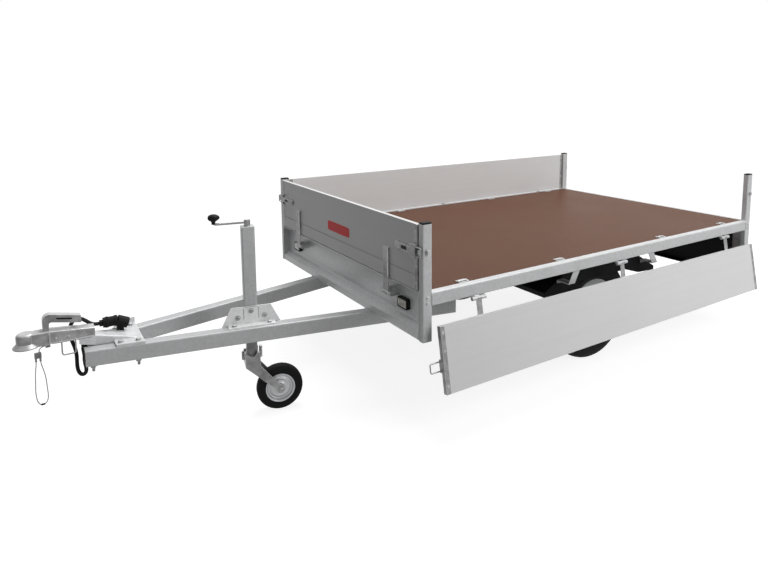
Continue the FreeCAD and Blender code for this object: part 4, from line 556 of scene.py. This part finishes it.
def cord_curve(name, route, diameter, slot):
    """A round cord on one smooth open line whose control points are the route's, in millimetres."""
    curve = bpy.data.curves.new(name, "CURVE")
    curve.dimensions = "3D"
    curve.bevel_depth = diameter / 2
    curve.bevel_resolution = 4
    curve.resolution_u = 12
    curve.use_fill_caps = True
    spline = curve.splines.new("NURBS")
    spline.points.add(len(route) - 1)
    points = np.hstack([np.array(route, float) / 1000, np.ones((len(route), 1))])
    spline.points.foreach_set("co", points.ravel())
    spline.order_u = 3
    spline.use_endpoint_u = True
    piece = add(name, curve)
    dress(piece, "trailer", slot)
    return piece


STRAND_ROUTE = [(-66, 0, -38), (-58, 0, -38), (-48, 0, -42), (-42, 0, -51), (-42, 0, -60)]
LOOP_ROUTE = [(-29, 0, -84), (-29, 0, -106), (-25, 2, -132), (-22, 3, -162), (-21, 4, -190), (-19, 6, -218),
              (-20, 8, -244), (-23, 10, -265), (-31, 11, -279), (-42, 12, -283), (-54, 12, -277),
              (-61, 12, -264), (-63, 11, -242), (-61, 9, -214), (-60, 8, -184), (-57, 6, -156),
              (-51, 3, -130), (-45, 0, -106), (-45, 0, -84)]
LEAD_ROUTE = [(-208, 2, -78), (-208, 2, -98), (-205, 0, -122), (-206, -3, -148), (-210, -6, -170),
              (-210, -9, -190), (-201, -15, -204), (-188, -24, -203), (-180, -31, -187), (-178, -34, -163),
              (-179, -37, -140), (-179, -40, -114), (-175, -43, -87), (-167, -46, -60), (-161, -47, -33),
              (-160, -47, -6), (-166, -47, 19), (-181, -46, 37), (-203, -46, 38), (-224, -46, 22),
              (-241, -44, 6), (-258, -40, 0), (-275, -40, 0)]
RELIEF_LENGTH, RELIEF_FOOT, RELIEF_TAPER = 0.040, 0.0134, 0.0040
RELIEF_RIB, RELIEF_PITCH = 0.0006, 0.0065


def make_cords():
    """Makes the safety cable and the electric lead"""
    strand = cord_curve("cable_strand", STRAND_ROUTE, 0.004, "cable_steel")
    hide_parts("safety_cable_strand")
    loop = cord_curve("cable_loop", LOOP_ROUTE, 0.004, "cable_steel")
    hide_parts("safety_cable_loop")
    crimps = heads("loop_crimps", CRIMP, [[x, 0, -0.084, 0, 0, -1] for x in (-0.029, -0.045)], "trailer",
                   finish="dull_steel", sides=16, smooth=True)
    sleeve = heads("loop_sleeve", CRIMP, [-0.0495, 0.012, -0.2805, 1, 0, 0], "trailer", "lead_rubber",
                   sides=16, smooth=True)
    lead = cord_curve("lead", LEAD_ROUTE, 0.016, "lead_rubber")
    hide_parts("electric_lead")
    height = np.linspace(0, RELIEF_LENGTH, 33)
    ribs = RELIEF_RIB * np.sin(2 * math.pi * height / RELIEF_PITCH)
    taper = RELIEF_FOOT - RELIEF_TAPER * height / RELIEF_LENGTH + ribs
    rows = np.stack([taper, height, 0 * height], 1)
    relief = heads("strain_relief", rows, [-0.208, 0.002, -0.078, 0, 0, -1], "trailer", "lead_rubber",
                   sides=32, smooth=True)


# Tyres

TYRE_ACROSS, BLOCK_STEPS = 72, 8
SIDE_POWER, CROWN_POWER = 0.62, 0.55
BEAD_LIFT, BEAD_POWER = 0.35, 0.7
TREAD_LIFT, TREAD_STEEPNESS = 0.93, 90
GROOVE_SHARE, INNER_SIPE = 0.035, 0.5
RING_LIFTS, RING_SHARE, RING_HEIGHT = (0.42, 0.58, 0.86), 0.02, 0.0012
ROAD_TYRE = {"radius": 0.2889, "seat": 0.1652, "half_width": 0.0783, "bead": 0.0545, "blocks": 64,
             "grooves": (-0.45, -0.15, 0.15, 0.45), "depth": 0.0065, "shoulder": 0.62}
JACK_TYRE = {"radius": 0.1099, "seat": 0.0661, "half_width": 0.0288, "bead": 0.0248, "blocks": 40,
             "grooves": (-0.25, 0.25), "depth": 0.0015, "shoulder": 0.9}


def tyre(name, node, centre, axis, body, radius, seat, half_width, bead, blocks, grooves, depth, shoulder):
    """A tyre as one closed surface of two parameters, the way round a and the way across b.

    Across, the section runs from bead to bead as a superellipse: half width * cos(b) to the power 0.62
    and seat + (radius - seat) * sin(b) to the power 0.55. The tread sinks by a depth where the place
    across lies in a groove, or where the way round falls in a sipe on the shoulder, and the sides
    carry thin raised rings. The bore closes the section.
    """
    around = blocks * BLOCK_STEPS
    b = np.linspace(0.04, math.pi - 0.04, TYRE_ACROSS)
    u = half_width * np.sign(np.cos(b)) * np.abs(np.cos(b)) ** SIDE_POWER
    lift = np.clip(np.sin(b), 0, 1) ** CROWN_POWER
    drawn_in = np.sign(u) * (bead + (np.abs(u) - bead) * (lift / BEAD_LIFT) ** BEAD_POWER)
    u = np.where(lift < BEAD_LIFT, drawn_in, u)
    share = u / half_width
    tread = 1 / (1 + np.exp(-(lift - TREAD_LIFT) * TREAD_STEEPNESS))
    groove = sum(np.exp(-((share - g) / GROOVE_SHARE) ** 4) for g in grooves)
    step = (np.arange(around) % BLOCK_STEPS)[:, None]
    stagger = ((np.arange(around) // BLOCK_STEPS) % 2)[:, None]
    outer, inner = np.abs(share)[None] > shoulder, np.abs(share)[None] < shoulder
    sipe = (step < 2) * outer + ((step == BLOCK_STEPS // 2) & (stagger == 0)) * inner * INNER_SIPE
    sink = depth * tread[None] * np.clip(groove[None] + sipe, 0, 1)
    rings = sum(np.exp(-((lift - k) / RING_SHARE) ** 2) for k in RING_LIFTS) * RING_HEIGHT
    radial = (seat + (radius - seat) * lift + rings * 0.3)[None] - sink
    width = (u + np.sign(u) * rings * (lift < 0.9))[None] + np.zeros_like(sink)
    bore, side = np.full((around, 1), seat), np.full((around, 1), bead)
    radial = np.hstack([bore, radial, bore])
    width = np.hstack([side, width, -side])
    points = ring_points(centre, axis, radial, width)
    piece = put(name, points, lattice(around, radial.shape[1], True), body=body, slot="tyre_rubber")
    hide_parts(node)


def make_tyres():
    """Makes the road tyres and the jack's tyre"""
    for side, sign in (("left", 1), ("right", -1)):
        tyre(f"road_tyre_{side}", f"tyre_{side}", WHEEL * [1, sign, 1], (0, 1, 0), f"{side}_wheel",
             **ROAD_TYRE)
    tyre("jack_tyre", "jack_wheel_tyre", CASTER, CASTER_AXIS, "jack_wheel", **JACK_TYRE)


RIM_SECTION = [(0.0090, 0.0310), (0.0168, 0.0310), (0.0180, 0.0298), (0.0190, 0.0225), (0.0210, 0.0195),
               (0.0270, 0.0180), (0.0320, 0.0142), (0.0352, 0.0140), (0.0392, 0.0172), (0.0440, 0.0176),
               (0.0480, 0.0140), (0.0530, 0.0116), (0.0570, 0.0120), (0.0598, 0.0150), (0.0615, 0.0225),
               (0.0640, 0.0254), (0.0682, 0.0272), (0.0697, 0.0266), (0.0697, 0.0256), (0.0658, 0.0248)]


def make_jack_rim():
    """The jack wheel's pressed disc: one section with a hub, two pressed rings and a rolled flange,
    mirrored to the other side and carried once round the axle."""
    section = np.array(RIM_SECTION)
    section = np.vstack([section, section[::-1] * [1, -1]])
    around = 120
    points = ring_points(CASTER, CASTER_AXIS, *(np.tile(column, (around, 1)) for column in section.T))
    quads = lattice(around, len(section), True)
    piece = put("jack_rim", points, quads, body="jack_wheel", slot="rim_silver")
    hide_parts("jack_wheel_rim")


# Fasteners

def arm_middle(x):
    """Where the middle of the left arm's tube lies across, at a place along it."""
    slope = math.tan(math.acos(CASTER_AXIS[1]))
    return ARM_FRONT_Y + (ARM_FRONT_X - x) * slope - ARM_HALF


def jack_place(along, across, z, out=(0, 0, 1)):
    """A place and a direction given along and across the jack's arm."""
    point = JACK * [1, 1, 0] + np.array([along, across, z]) @ JACK_AXES
    return np.hstack([point, np.array(out, float) @ JACK_AXES])


def jack_run(start, end):
    """A straight run between two points given along and across the jack's arm."""
    return [jack_place(*start)[:3], jack_place(*end)[:3]]


# Bolts on the drawbar: from the front and across, or along and up the jack's bracket
PLATE_THICKNESS, BRACKET_THICKNESS = 0.010, 0.005
PLATE_BOLTS = (-0.340, 0.086), (-0.408, 0.100)
BRACKET_FOOT_BOLTS, BRACKET_FOOT_Y = (-0.080, 0.080), 0.058
BRACKET_SIDE_BOLTS, BRACKET_SIDE_Y = ((-0.060, 0.030), (0.060, 0.030), (0, 0.058)), 0.035
STUD_XS, STUD_BESIDE = (-0.232, -0.404), 0.008
COUPLING_RIVET_XS, COUPLING_RIVET_Z = (-0.105, -0.150), -0.006


def make_drawbar_fasteners():
    """Makes the bolts of coupling, plate and jack"""
    arms_low, arms_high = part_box("drawbar_arms")
    plate, foot = arms_high[2] + PLATE_THICKNESS, arms_high[2] + BRACKET_THICKNESS
    bolts = [[x, s * y, plate, 0, 0, 1] for x, y in PLATE_BOLTS for s in (1, -1)]
    bolts += [jack_place(x, BRACKET_FOOT_Y, foot) for x in BRACKET_FOOT_BOLTS]
    bolts += [jack_place(x, BRACKET_SIDE_Y, foot + z, (0, 1, 0)) for x, z in BRACKET_SIDE_BOLTS]
    studs = [[x, s * (arm_middle(x) + STUD_BESIDE), arms_low[2], 0, 0, -1] for x in STUD_XS for s in (1, -1)]
    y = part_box("coupling_housing")[1][1] * 0.97
    rivets = [[x, s * y, COUPLING_RIVET_Z, 0, s, 0] for s in (1, -1) for x in COUPLING_RIVET_XS]
    heads("drawbar_bolts", BIG_HEX, bolts, "trailer")
    heads("drawbar_studs", STUD, studs, "trailer")
    heads("coupling_rivets", DOME, rivets, "trailer", sides=16, smooth=True)


# Places on a latch: in from the board's end, out from its face and up from the latch's middle
PIN_IN, PIN_OUT, PIN_UP = 0.024, 0.009, 0.028
YOKE_IN, YOKE_OUT, YOKE_UP = (0.138, 0.052), 0.003, 0.0165
# Where the black pads sit on a latch lever, as painted shadow of its gaps
SHADOW_IN, SHADOW_OUT = 0.086, 0.0148
HINGE_BOLTS_UP, HEAD_BOLTS_UP = (0.016, 0.041), (0.020, 0.070, 0.120)
HEM_BESIDE, HEM_OUT, HEM_UP = 0.0192, 0.0088, 0.070


def board_places(along, out, face, ends, straps, strap_zs, strap_lift, inner_inset=0.0):
    """Head places on a closed board: rivets down its end strips, strap bolts, and its latches' pins,
    rivets and grips.

    The unit vector along runs from the board's second end to its first, and out away from its outer
    face, which lies at the distance face. Strips and latches lead from each end into the board.
    """
    along, out = np.array(along, float), np.array(out, float)
    back = BOARD_THICKNESS + (0 if inner_inset else STRIP_SKIN)
    sides = list(zip(ends, (-1, 1)))

    def at(place, lift, z, direction):
        return np.hstack([along * place + out * (face + lift) + UP * z, direction])
    return {
        "rivets": [at(end + way * STRIP_HALF, STRIP_SKIN, z, out) for end, way in sides for z in RIVET_ZS]
        + [at(end + way * (STRIP_HALF + inner_inset), -back, z, -out)
           for end, way in sides for z in RIVET_ZS],
        "strap_bolts": [at(place, strap_lift, BOARD_LOW_Z + z, out) for place in straps for z in strap_zs],
        "latch_pins": [at(end + way * PIN_IN, PIN_OUT, LATCH_Z + s * PIN_UP, s * UP)
                       for end, way in sides for s in (1, -1)],
        "latch_rivets": [at(end + way * inset, YOKE_OUT, LATCH_Z + s * YOKE_UP, out)
                         for end, way in sides for inset in YOKE_IN for s in (1, -1)],
        "latch_grips": [at(end + way * SHADOW_IN, SHADOW_OUT, LATCH_Z, out) for end, way in sides],
    }


def make_board_fasteners():
    """Makes rivets, strap bolts, strap hems, latch pins and latch grips"""
    inset = (FRONT_X - REAR_X) * HINGE_SHARE
    hinges = FRONT_X - inset, (FRONT_X + REAR_X) / 2, REAR_X + inset
    width = BOARD_SIDE_Y, -BOARD_SIDE_Y
    side = board_places((1, 0, 0), (0, 1, 0), SIDE_Y, (BOARD_FRONT_X, BOARD_REAR_X), hinges,
                        HINGE_BOLTS_UP, 0.009)
    head = board_places((0, 1, 0), (1, 0, 0), FRONT_X, width, (HEAD_STRAP_Y, -HEAD_STRAP_Y),
                        HEAD_BOLTS_UP, 0.009)
    tail = board_places((0, 1, 0), (-1, 0, 0), -REAR_X, width, (TAIL_STRAP_Y, -TAIL_STRAP_Y),
                        HINGE_BOLTS_UP, 0.016, 0.020)
    sets = {
        "left_side_board": {key: carried(p, SIDE_HINGE, (1, 0, 0), -OPEN_ANGLE) for key, p in side.items()},
        "right_side_board": {key: other_side(p) for key, p in side.items()},
        "front_board": head,
        "rear_board": {key: carried(p, TAIL_HINGE, (0, 1, 0), -math.pi) for key, p in tail.items()},
    }
    turned = {"rivets": RIVET, "strap_bolts": DOME, "latch_pins": PIN, "latch_rivets": DOME}
    for body, found in sets.items():
        for key, rows in turned.items():
            heads(f"{body}_{key}", rows, found[key], body, sides=16, smooth=True)
        # Black pads on the latch levers: painted shadow of the gaps between lever and wires
        pads(f"{body}_latch_grips", LATCH_SHADOW_PAD, (0.022, 0.0075), found["latch_grips"], body, "black_plastic")
    # Strips on the headboard straps' edges in the lighter zinc: a painted highlight where the headboard shades the
    # straps
    hems = [[FRONT_X + HEM_OUT, y + HEM_BESIDE, BOARD_LOW_Z + HEM_UP, 1, 0, 0]
            for y in (HEAD_STRAP_Y, -HEAD_STRAP_Y)]
    pads("strap_hems", HEM_PAD, (0.0036, 0.0690), hems, "front_board", "galvanised_steel", "fresh_zinc",
         0.12)


WHEEL_NUTS, NUT_CIRCLE, NUT_OUT = 5, 0.056, 0.035
FORK_PIN_HALF, FORK_BOLT_OUT, FORK_ROD_OUT, FORK_HEAD_UP = 0.0455, 0.034, 0.041, 0.060


def make_wheel_fasteners():
    """Makes the wheel nuts and the bolts, spring and catch of the jack wheel's fork"""
    angle = np.arange(WHEEL_NUTS) * 2 * math.pi / WHEEL_NUTS + 0.3
    circle = NUT_CIRCLE * np.stack([np.cos(angle), 0 * angle, np.sin(angle)], 1)
    for side, sign in (("left", 1), ("right", -1)):
        centre = WHEEL * [1, sign, 1] + [0, sign * NUT_OUT, 0]
        places = np.hstack([centre + circle, np.tile([0.0, sign, 0.0], (WHEEL_NUTS, 1))])
        heads(f"{side}_wheel_nuts", BIG_HEX, places, f"{side}_wheel")
    ends = [np.hstack([CASTER + CASTER_AXIS * s * FORK_PIN_HALF, CASTER_AXIS * s]) for s in (1, -1)]
    heads("jack_pin_nuts", PIN_NUT, ends, "jack_caster")
    head = JACK[2] + FORK_HEAD_UP
    bolts = [jack_place(s * FORK_BOLT_OUT, 0, head, (s, 0, 0)) for s in (1, -1)]
    heads("fork_bolts", BIG_HEX, bolts, "jack_caster")
    spring = jack_run((-FORK_ROD_OUT, 0, head - 0.010), (-FORK_ROD_OUT, 0, head + 0.052))
    beads("fork_spring", spring, 0.0066, "jack_caster", "zinc_plated_steel", 0.28, 0.0056, 120, 12)
    catch = jack_run((FORK_ROD_OUT, 0, head - 0.012), (FORK_ROD_OUT, 0, head + 0.034))
    rods("fork_catch", catch, 0.0060, "jack_caster")


def make_frame_fasteners():
    """Makes the posts' bolts"""
    xs = FRONT_X - POST_DEPTH / 2, REAR_X + POST_DEPTH / 2
    bolts = [[x, s * SIDE_Y, DECK_Z - down, 0, s, 0]
             for x in xs for s in (1, -1) for down in (0.020, 0.045)]
    heads("post_bolts", HEX, bolts, "trailer", "galvanised_steel")


def make_blank():
    """A plain enamel plate on the headboard, in a pale rolled rim."""
    spot = np.array([FRONT_X, 0.013, 0.283, 1, 0, 0])
    rim = [(0, 0), (0, 0.0010), (0.0006, 0.0014), (0.0040, 0.0014)]
    plate = [(0, 0.0010), (0, 0.0017), (0.0010, 0.0021), (0.0050, 0.0022)]
    for name, rows, half, finish in (("blank_rim", rim, (0.1270, 0.0290), "board_across"),
                                     ("headboard_blank", plate, (0.1240, 0.0260), "blank_red")):
        pads(name, rows, half, spot, "front_board", "board_aluminium", finish, 0.2, 96)


# A lamp's rim is (inset, depth below its front) and its lens (inset, height)
LAMP_POWER = 0.2
FRONT_LAMP_RIM = [(0, 0.008), (0.0012, 0.006), (0.0050, 0.0055), (0.0060, 0.010)]
FRONT_LENS = [(0, 0), (0, 0.003), (0.0015, 0.0055), (0.006, 0.0075), (0.014, 0.0085)]
REAR_LAMP_RIM = [(0, 0.012), (0.0020, 0.009), (0.0060, 0.0085), (0.0070, 0.014)]
REAR_LENS = [(0, 0), (0, 0.004), (0.0020, 0.0080), (0.007, 0.0105), (0.016, 0.0125)]
FRONT_LENS_SUNK, REAR_LENS_SUNK, REAR_LENS_STEP = 0.0105, 0.0130, 0.067


def lamp_cases(name, box, way, half, rim):
    """The cases of two lamps that face one way, and where their fronts, middles and centres lie."""
    low, high = box
    back, front = (low[0], high[0]) if way > 0 else (high[0], low[0])
    middle, out = (low[2] + high[2]) / 2, high[1] - half[0]
    shell = [(0, 0)] + [(inset, high[0] - low[0] - drop) for inset, drop in rim]
    spots = [[back, y, middle, way, 0, 0] for y in (-out, out)]
    case = pads(name, shell, half, spots, "trailer", "black_plastic", power=LAMP_POWER)
    return case, front, middle, out


def make_lamps():
    """Front and rear lamps: a black housing with a rim, and lenses set into it."""
    case, front, middle, out = lamp_cases("front_lamp_cases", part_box("front_lamps"), 1, (0.040, 0.025),
                                          FRONT_LAMP_RIM)
    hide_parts("front_lamps")
    spots = [[front - FRONT_LENS_SUNK, y, middle, 1, 0, 0] for y in (-out, out)]
    pads("front_lamp_lenses", FRONT_LENS, (0.0335, 0.0185), spots, "trailer", "clear_lens",
         power=LAMP_POWER)
    case, front, middle, out = lamp_cases("rear_lamp_cases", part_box("rear_lamps"), -1, (0.110, 0.050),
                                          REAR_LAMP_RIM)
    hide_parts("rear_lamps")
    for name, step, slot, finish in (("brake", 0, "lamp_lens", None),
                                     ("turn", 1, "lamp_lens", "amber_lens"),
                                     ("reverse", -1, "clear_lens", None)):
        y = out + step * REAR_LENS_STEP
        spots = [[front + REAR_LENS_SUNK, s * y, middle, -1, 0, 0] for s in (1, -1)]
        pads(name + "_lenses", REAR_LENS, (0.0325, 0.0415), spots, "trailer", slot, finish, LAMP_POWER)


LEDGE_INSET, LEDGE_UP, LEDGE_HALF = 0.0045, 0.030, 0.7585
LEDGE_SHEET = 0.0020, 0.0012


def make_beam_ledge():
    """The front beam's sloping ledge: a folded sheet from the web down to the lip, its section carried
    along the beam in eight equal steps and closed at both ends."""
    back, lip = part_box("front_beam")[0][0] + LEDGE_INSET, FRONT_X - LEDGE_INSET
    low = POST_LOW[2] + LEDGE_UP
    outer = np.array([(back, low + 0.048), (back, low + 0.036), (back + 0.002, low + 0.031),
                      (lip - 0.002, low + 0.008), (lip, low + 0.005), (lip, low)])
    section = np.vstack([outer, outer[::-1] - LEDGE_SHEET])
    ys = np.linspace(-LEDGE_HALF, LEDGE_HALF, 9)
    points = np.stack([np.insert(section, 1, y, axis=1) for y in ys])
    count = len(section)
    first = np.arange(len(outer) - 1)
    cap = np.stack([first, first + 1, count - 2 - first, count - 1 - first], 1)
    last = cap + (len(ys) - 1) * count
    quads = np.vstack([lattice(len(ys), count), cap[:, ::-1], last])
    put("beam_ledge", points, quads, (), "trailer", "galvanised_steel", "beam_zinc", False)


def make_welds():
    """Ripple beads where the frame's pieces meet."""
    rail = FRONT_X - POST_DEPTH, REAR_X + POST_DEPTH
    runs = []
    for x in rail:
        runs += both_sides((x, SIDE_Y, DECK_Z - 0.057), (x, SIDE_Y, DECK_Z - 0.003))
    runs += both_sides((FRONT_X, FLOOR_SIDE_Y, POST_LOW[2] + 0.006),
                       (FRONT_X, FLOOR_SIDE_Y, DECK_Z - 0.004))
    for x in rail:
        runs += both_sides((x, FLOOR_SIDE_Y, DECK_Z), (x, SIDE_Y - 0.002, DECK_Z))
    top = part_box("drawbar_arms")[1][2]
    middle = arm_middle(FRONT_X)
    runs += both_sides((FRONT_X, middle - 0.031, top), (FRONT_X, middle + 0.031, top))
    beads("frame_welds", runs, 0.0026, "trailer", "galvanised_steel")
    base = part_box("jack_bracket")[1][2]
    tube = [jack_run((-0.030, 0.0345, base), (0.030, 0.0345, base))]
    tube += [jack_run((x, 0.0335, base - 0.062), (x, 0.0335, base - 0.004)) for x in (-0.0335, 0.0335)]
    beads("bracket_welds", tube, 0.0030, "trailer", "galvanised_steel")


COUPLING_FOOT, EDGE_Y, SEAM_Y, GRIP_Y = -0.0215, 0.0305, 0.0335, 0.0125


def make_coupling_trim():
    """The coupling's rolled lower edge, the seam round its head, the handle's grips, the jack's knob
    and the plug's collar."""
    low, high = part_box("coupling_housing")
    edges = both_sides((low[0] + 0.006, EDGE_Y, COUPLING_FOOT - 0.003),
                       (high[0] - 0.002, EDGE_Y, COUPLING_FOOT))
    rods("coupling_edges", edges, 0.0034, "trailer")
    seams = both_sides((high[0] + 0.004, SEAM_Y, COUPLING_FOOT - 0.002), (high[0] + 0.004, SEAM_Y, 0.022))
    rods("coupling_seams", seams, 0.0022, "trailer")
    grips = both_sides((-0.108, GRIP_Y, 0.0772), (-0.172, GRIP_Y, 0.0636))
    beads("handle_grips", grips, 0.0058, "trailer", "black_plastic", 0.05, 0.004, 70, 16)
    low, high = np.array(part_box("jack_knob"))
    knob = heads("crank_knob", KNOB, [*(low[:2] + high[:2]) / 2, high[2] - 0.0450, 0, 0, 1], "trailer",
                 "black_plastic", sides=60, smooth=True, lobes=5)
    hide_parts("jack_knob")
    low, high = np.array(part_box("lead_plug"))
    heads("plug_collar", COLLAR, [high[0] - 0.022, *(low[1:] + high[1:]) / 2, -1, 0, 0], "trailer",
          "black_plastic", sides=144, lobes=24)


# Stage

FLOOR_REACH = 60
WHITE = (1, 1, 1, 1)


def make_floor():
    """A pale floor whose own colour is topped up to white for the rays that see the backdrop."""
    s = settings()
    corners = [(x * FLOOR_REACH, y * FLOOR_REACH, GROUND_Z)
               for x, y in ((-1, -1), (1, -1), (1, 1), (-1, 1))]
    floor = put("studio_floor", corners, [(0, 1, 2, 3)])
    f = Finish("pale_floor", Roughness=0.9, Specular_IOR_Level=0.0)
    f.shader.inputs["Base Color"].default_value = (s.floor_tone, s.floor_tone, s.floor_tone, 1)
    away = f.node("VectorMath", {"operation": "DISTANCE"}, [f.place, (-2.0, 0.0, GROUND_Z)], out="Value")
    strength = f.background_rays() * (away.above(7.0, 9.0) * (1 - s.floor_glow) + s.floor_glow)
    glow = f.node("Emission", {}, {"Color": WHITE, "Strength": strength})
    both = f.node("AddShader", {}, [Signal(f, f.shader.outputs[0]), glow])
    f.tree.links.new(both.socket, f.tree.nodes["Material Output"].inputs["Surface"])
    floor.data.materials.append(f.material)


def make_world():
    """White where the backdrop is seen, and a soft even light everywhere else."""
    s = settings()
    world = bpy.data.worlds.new("studio")
    bpy.context.scene.world = world
    world.use_nodes = True
    graph = Graph(world.node_tree)
    strength = graph.background_rays() * (1.0 - s.world_light) + s.world_light
    backdrop = graph.tree.nodes["Background"].inputs
    graph.tree.links.new(strength.socket, backdrop["Strength"])
    backdrop["Color"].default_value = WHITE


def make_lights():
    """Soft boxes: one high beside the camera and one overhead."""
    s = settings()
    for name, spot, target, size, power in (
            ("key", (-4.6, 4.6, 2.4), (-2.3, 0, 0.0), 3.0, s.key_power),
            ("top", (-3.0, -0.4, 5.0), (-2.4, 0, 0.0), 4.5, s.top_power)):
        data = bpy.data.lights.new(name, "AREA")
        data.size = size
        data.energy = power
        lamp = add(name, data)
        lamp.location = spot
        lamp.rotation_euler = (Vector(target) - Vector(spot)).to_track_quat("-Z", "Y").to_euler()


def make_stage():
    """Makes floor, lights and world"""
    bpy.context.scene.view_settings.view_transform = "Standard"
    make_floor()
    make_world()
    make_lights()


# The camera, its lens and centre in the photo's pixels and its place in metres
IMAGE_WIDTH, IMAGE_HEIGHT = 768, 576
SENSOR_WIDTH = 36
LENS_PIXELS = 611.183
CENTRE_X, CENTRE_Y = 404.472, 161.977
CAMERA_RIGHT = Vector((-0.839716, 0.542995, -0.005718))
CAMERA_DOWN = Vector((0.070186, 0.098086, -0.9927))
CAMERA_AHEAD = Vector((-0.53847, -0.833988, -0.120475))
CAMERA_PLACE = Vector((-0.005175, 2.848014, 1.016779))


def make_camera():
    """Places the camera that the photo's straight edges give"""
    data = bpy.data.cameras.new("photo_view")
    data.sensor_width = SENSOR_WIDTH
    data.lens = LENS_PIXELS / IMAGE_WIDTH * SENSOR_WIDTH
    data.shift_x = (IMAGE_WIDTH / 2 - CENTRE_X) / IMAGE_WIDTH
    data.shift_y = (CENTRE_Y - IMAGE_HEIGHT / 2) / IMAGE_WIDTH
    data.clip_end = 100
    camera = add("photo_view", data)
    turned = Matrix((CAMERA_RIGHT, -CAMERA_DOWN, -CAMERA_AHEAD)).transposed().to_4x4()
    camera.matrix_world = Matrix.Translation(CAMERA_PLACE) @ turned
    bpy.context.scene.camera = camera


# Some own finishes are lighter or darker copies of one material: painted light and painted shade
OWN_FINISHES = {"left_board": "board_along", "right_board": "board_along", "headboard": "board_across",
                "tailgate": "board_across", "jack_bracket": "fresh_zinc", "coupling_adapter": "pale_zinc",
                "front_beam": "beam_zinc", "jack_inner_tube": "drawn_zinc",
                "cable_eye_and_clip": "dull_steel"}


def dress_frame():
    """Gives every carried-over node its own finish, or else the one of its material slot"""
    slots = {part["node"]: part["material_slot"] for part in frame["record"]["subparts"]}
    for name, node in frame["nodes"].items():
        node.data.materials.clear()
        node.data.materials.append(FINISHES[OWN_FINISHES.get(name, slots[name])])


# Add-on

def colour(name, description, default):
    return bpy.props.FloatVectorProperty(name=name, description=description, default=default,
                                         subtype="COLOR", size=3, min=0, max=1)


def amount(name, description, default, **limits):
    return bpy.props.FloatProperty(name=name, description=description, default=default, min=0, **limits)


class TrailerSettings(bpy.types.PropertyGroup):
    """Colours and light that a user would change."""
    galvanised_colour: colour("Galvanised steel", "Colour of the hot dip zinc", (0.50, 0.505, 0.51))
    plated_colour: colour("Plated steel", "Colour of the bright zinc", (0.40, 0.40, 0.40))
    board_colour: colour("Boards", "Colour of the satin boards", (0.70, 0.70, 0.70))
    floor_colour: colour("Floor", "Colour of the film on the plywood", (0.094, 0.042, 0.024))
    plastic_colour: colour("Plastic", "Colour of the black mouldings", (0.007, 0.007, 0.0075))
    rubber_colour: colour("Tyres", "Colour of the tyre rubber", (0.013, 0.013, 0.0135))
    rim_colour: colour("Rims", "Colour of the wheel lacquer", (0.55, 0.56, 0.57))
    floor_tone: amount("Floor tone", "How pale the studio floor is", 0.28, max=1)
    floor_glow: amount("Floor glow", "White added where the floor is seen", 0.87, max=1)
    world_light: amount("World light", "Strength of the light from all round", 0.16, max=2)
    key_power: amount("Key light", "Power of the light beside the camera", 150, subtype="POWER")
    top_power: amount("Top light", "Power of the light overhead", 340, subtype="POWER")


def operator(action):
    """An operator class that runs one making function and carries its name and its docstring."""
    name = action.__name__.split("_", 1)[1]

    def execute(self, context):
        action()
        return {"FINISHED"}
    return type("TRAILER_OT_" + name, (bpy.types.Operator,), {
        "__doc__": action.__doc__, "bl_idname": "trailer." + name,
        "bl_label": name.replace("_", " ").capitalize(), "execute": execute})


STEPS = [operator(action) for action in (
    make_camera, make_finishes, make_cords, dress_frame, make_tyres, make_drawbar_fasteners,
    make_board_fasteners, make_jack_rim, make_wheel_fasteners, make_frame_fasteners, make_blank, make_lamps,
    make_beam_ledge, make_welds, make_coupling_trim, make_stage)]


class TRAILER_PT_panel(bpy.types.Panel):
    """Lists the settings and the operators."""
    bl_label = "Trailer"
    bl_idname = "TRAILER_PT_panel"
    bl_space_type = "VIEW_3D"
    bl_region_type = "UI"
    bl_category = "Trailer"

    def draw(self, context):
        for name in TrailerSettings.__annotations__:
            self.layout.prop(context.scene.trailer, name)
        for step in STEPS:
            self.layout.operator(step.bl_idname)


CLASSES = [TrailerSettings, *STEPS, TRAILER_PT_panel]


def register():
    for item in CLASSES:
        bpy.utils.register_class(item)
    bpy.types.Scene.trailer = bpy.props.PointerProperty(type=TrailerSettings)


def unregister():
    del bpy.types.Scene.trailer
    for item in reversed(CLASSES):
        bpy.utils.unregister_class(item)


def main():
    register()
    for step in STEPS:
        getattr(bpy.ops.trailer, step.bl_idname.split(".")[1])()


if __name__ == "__main__":
    main()
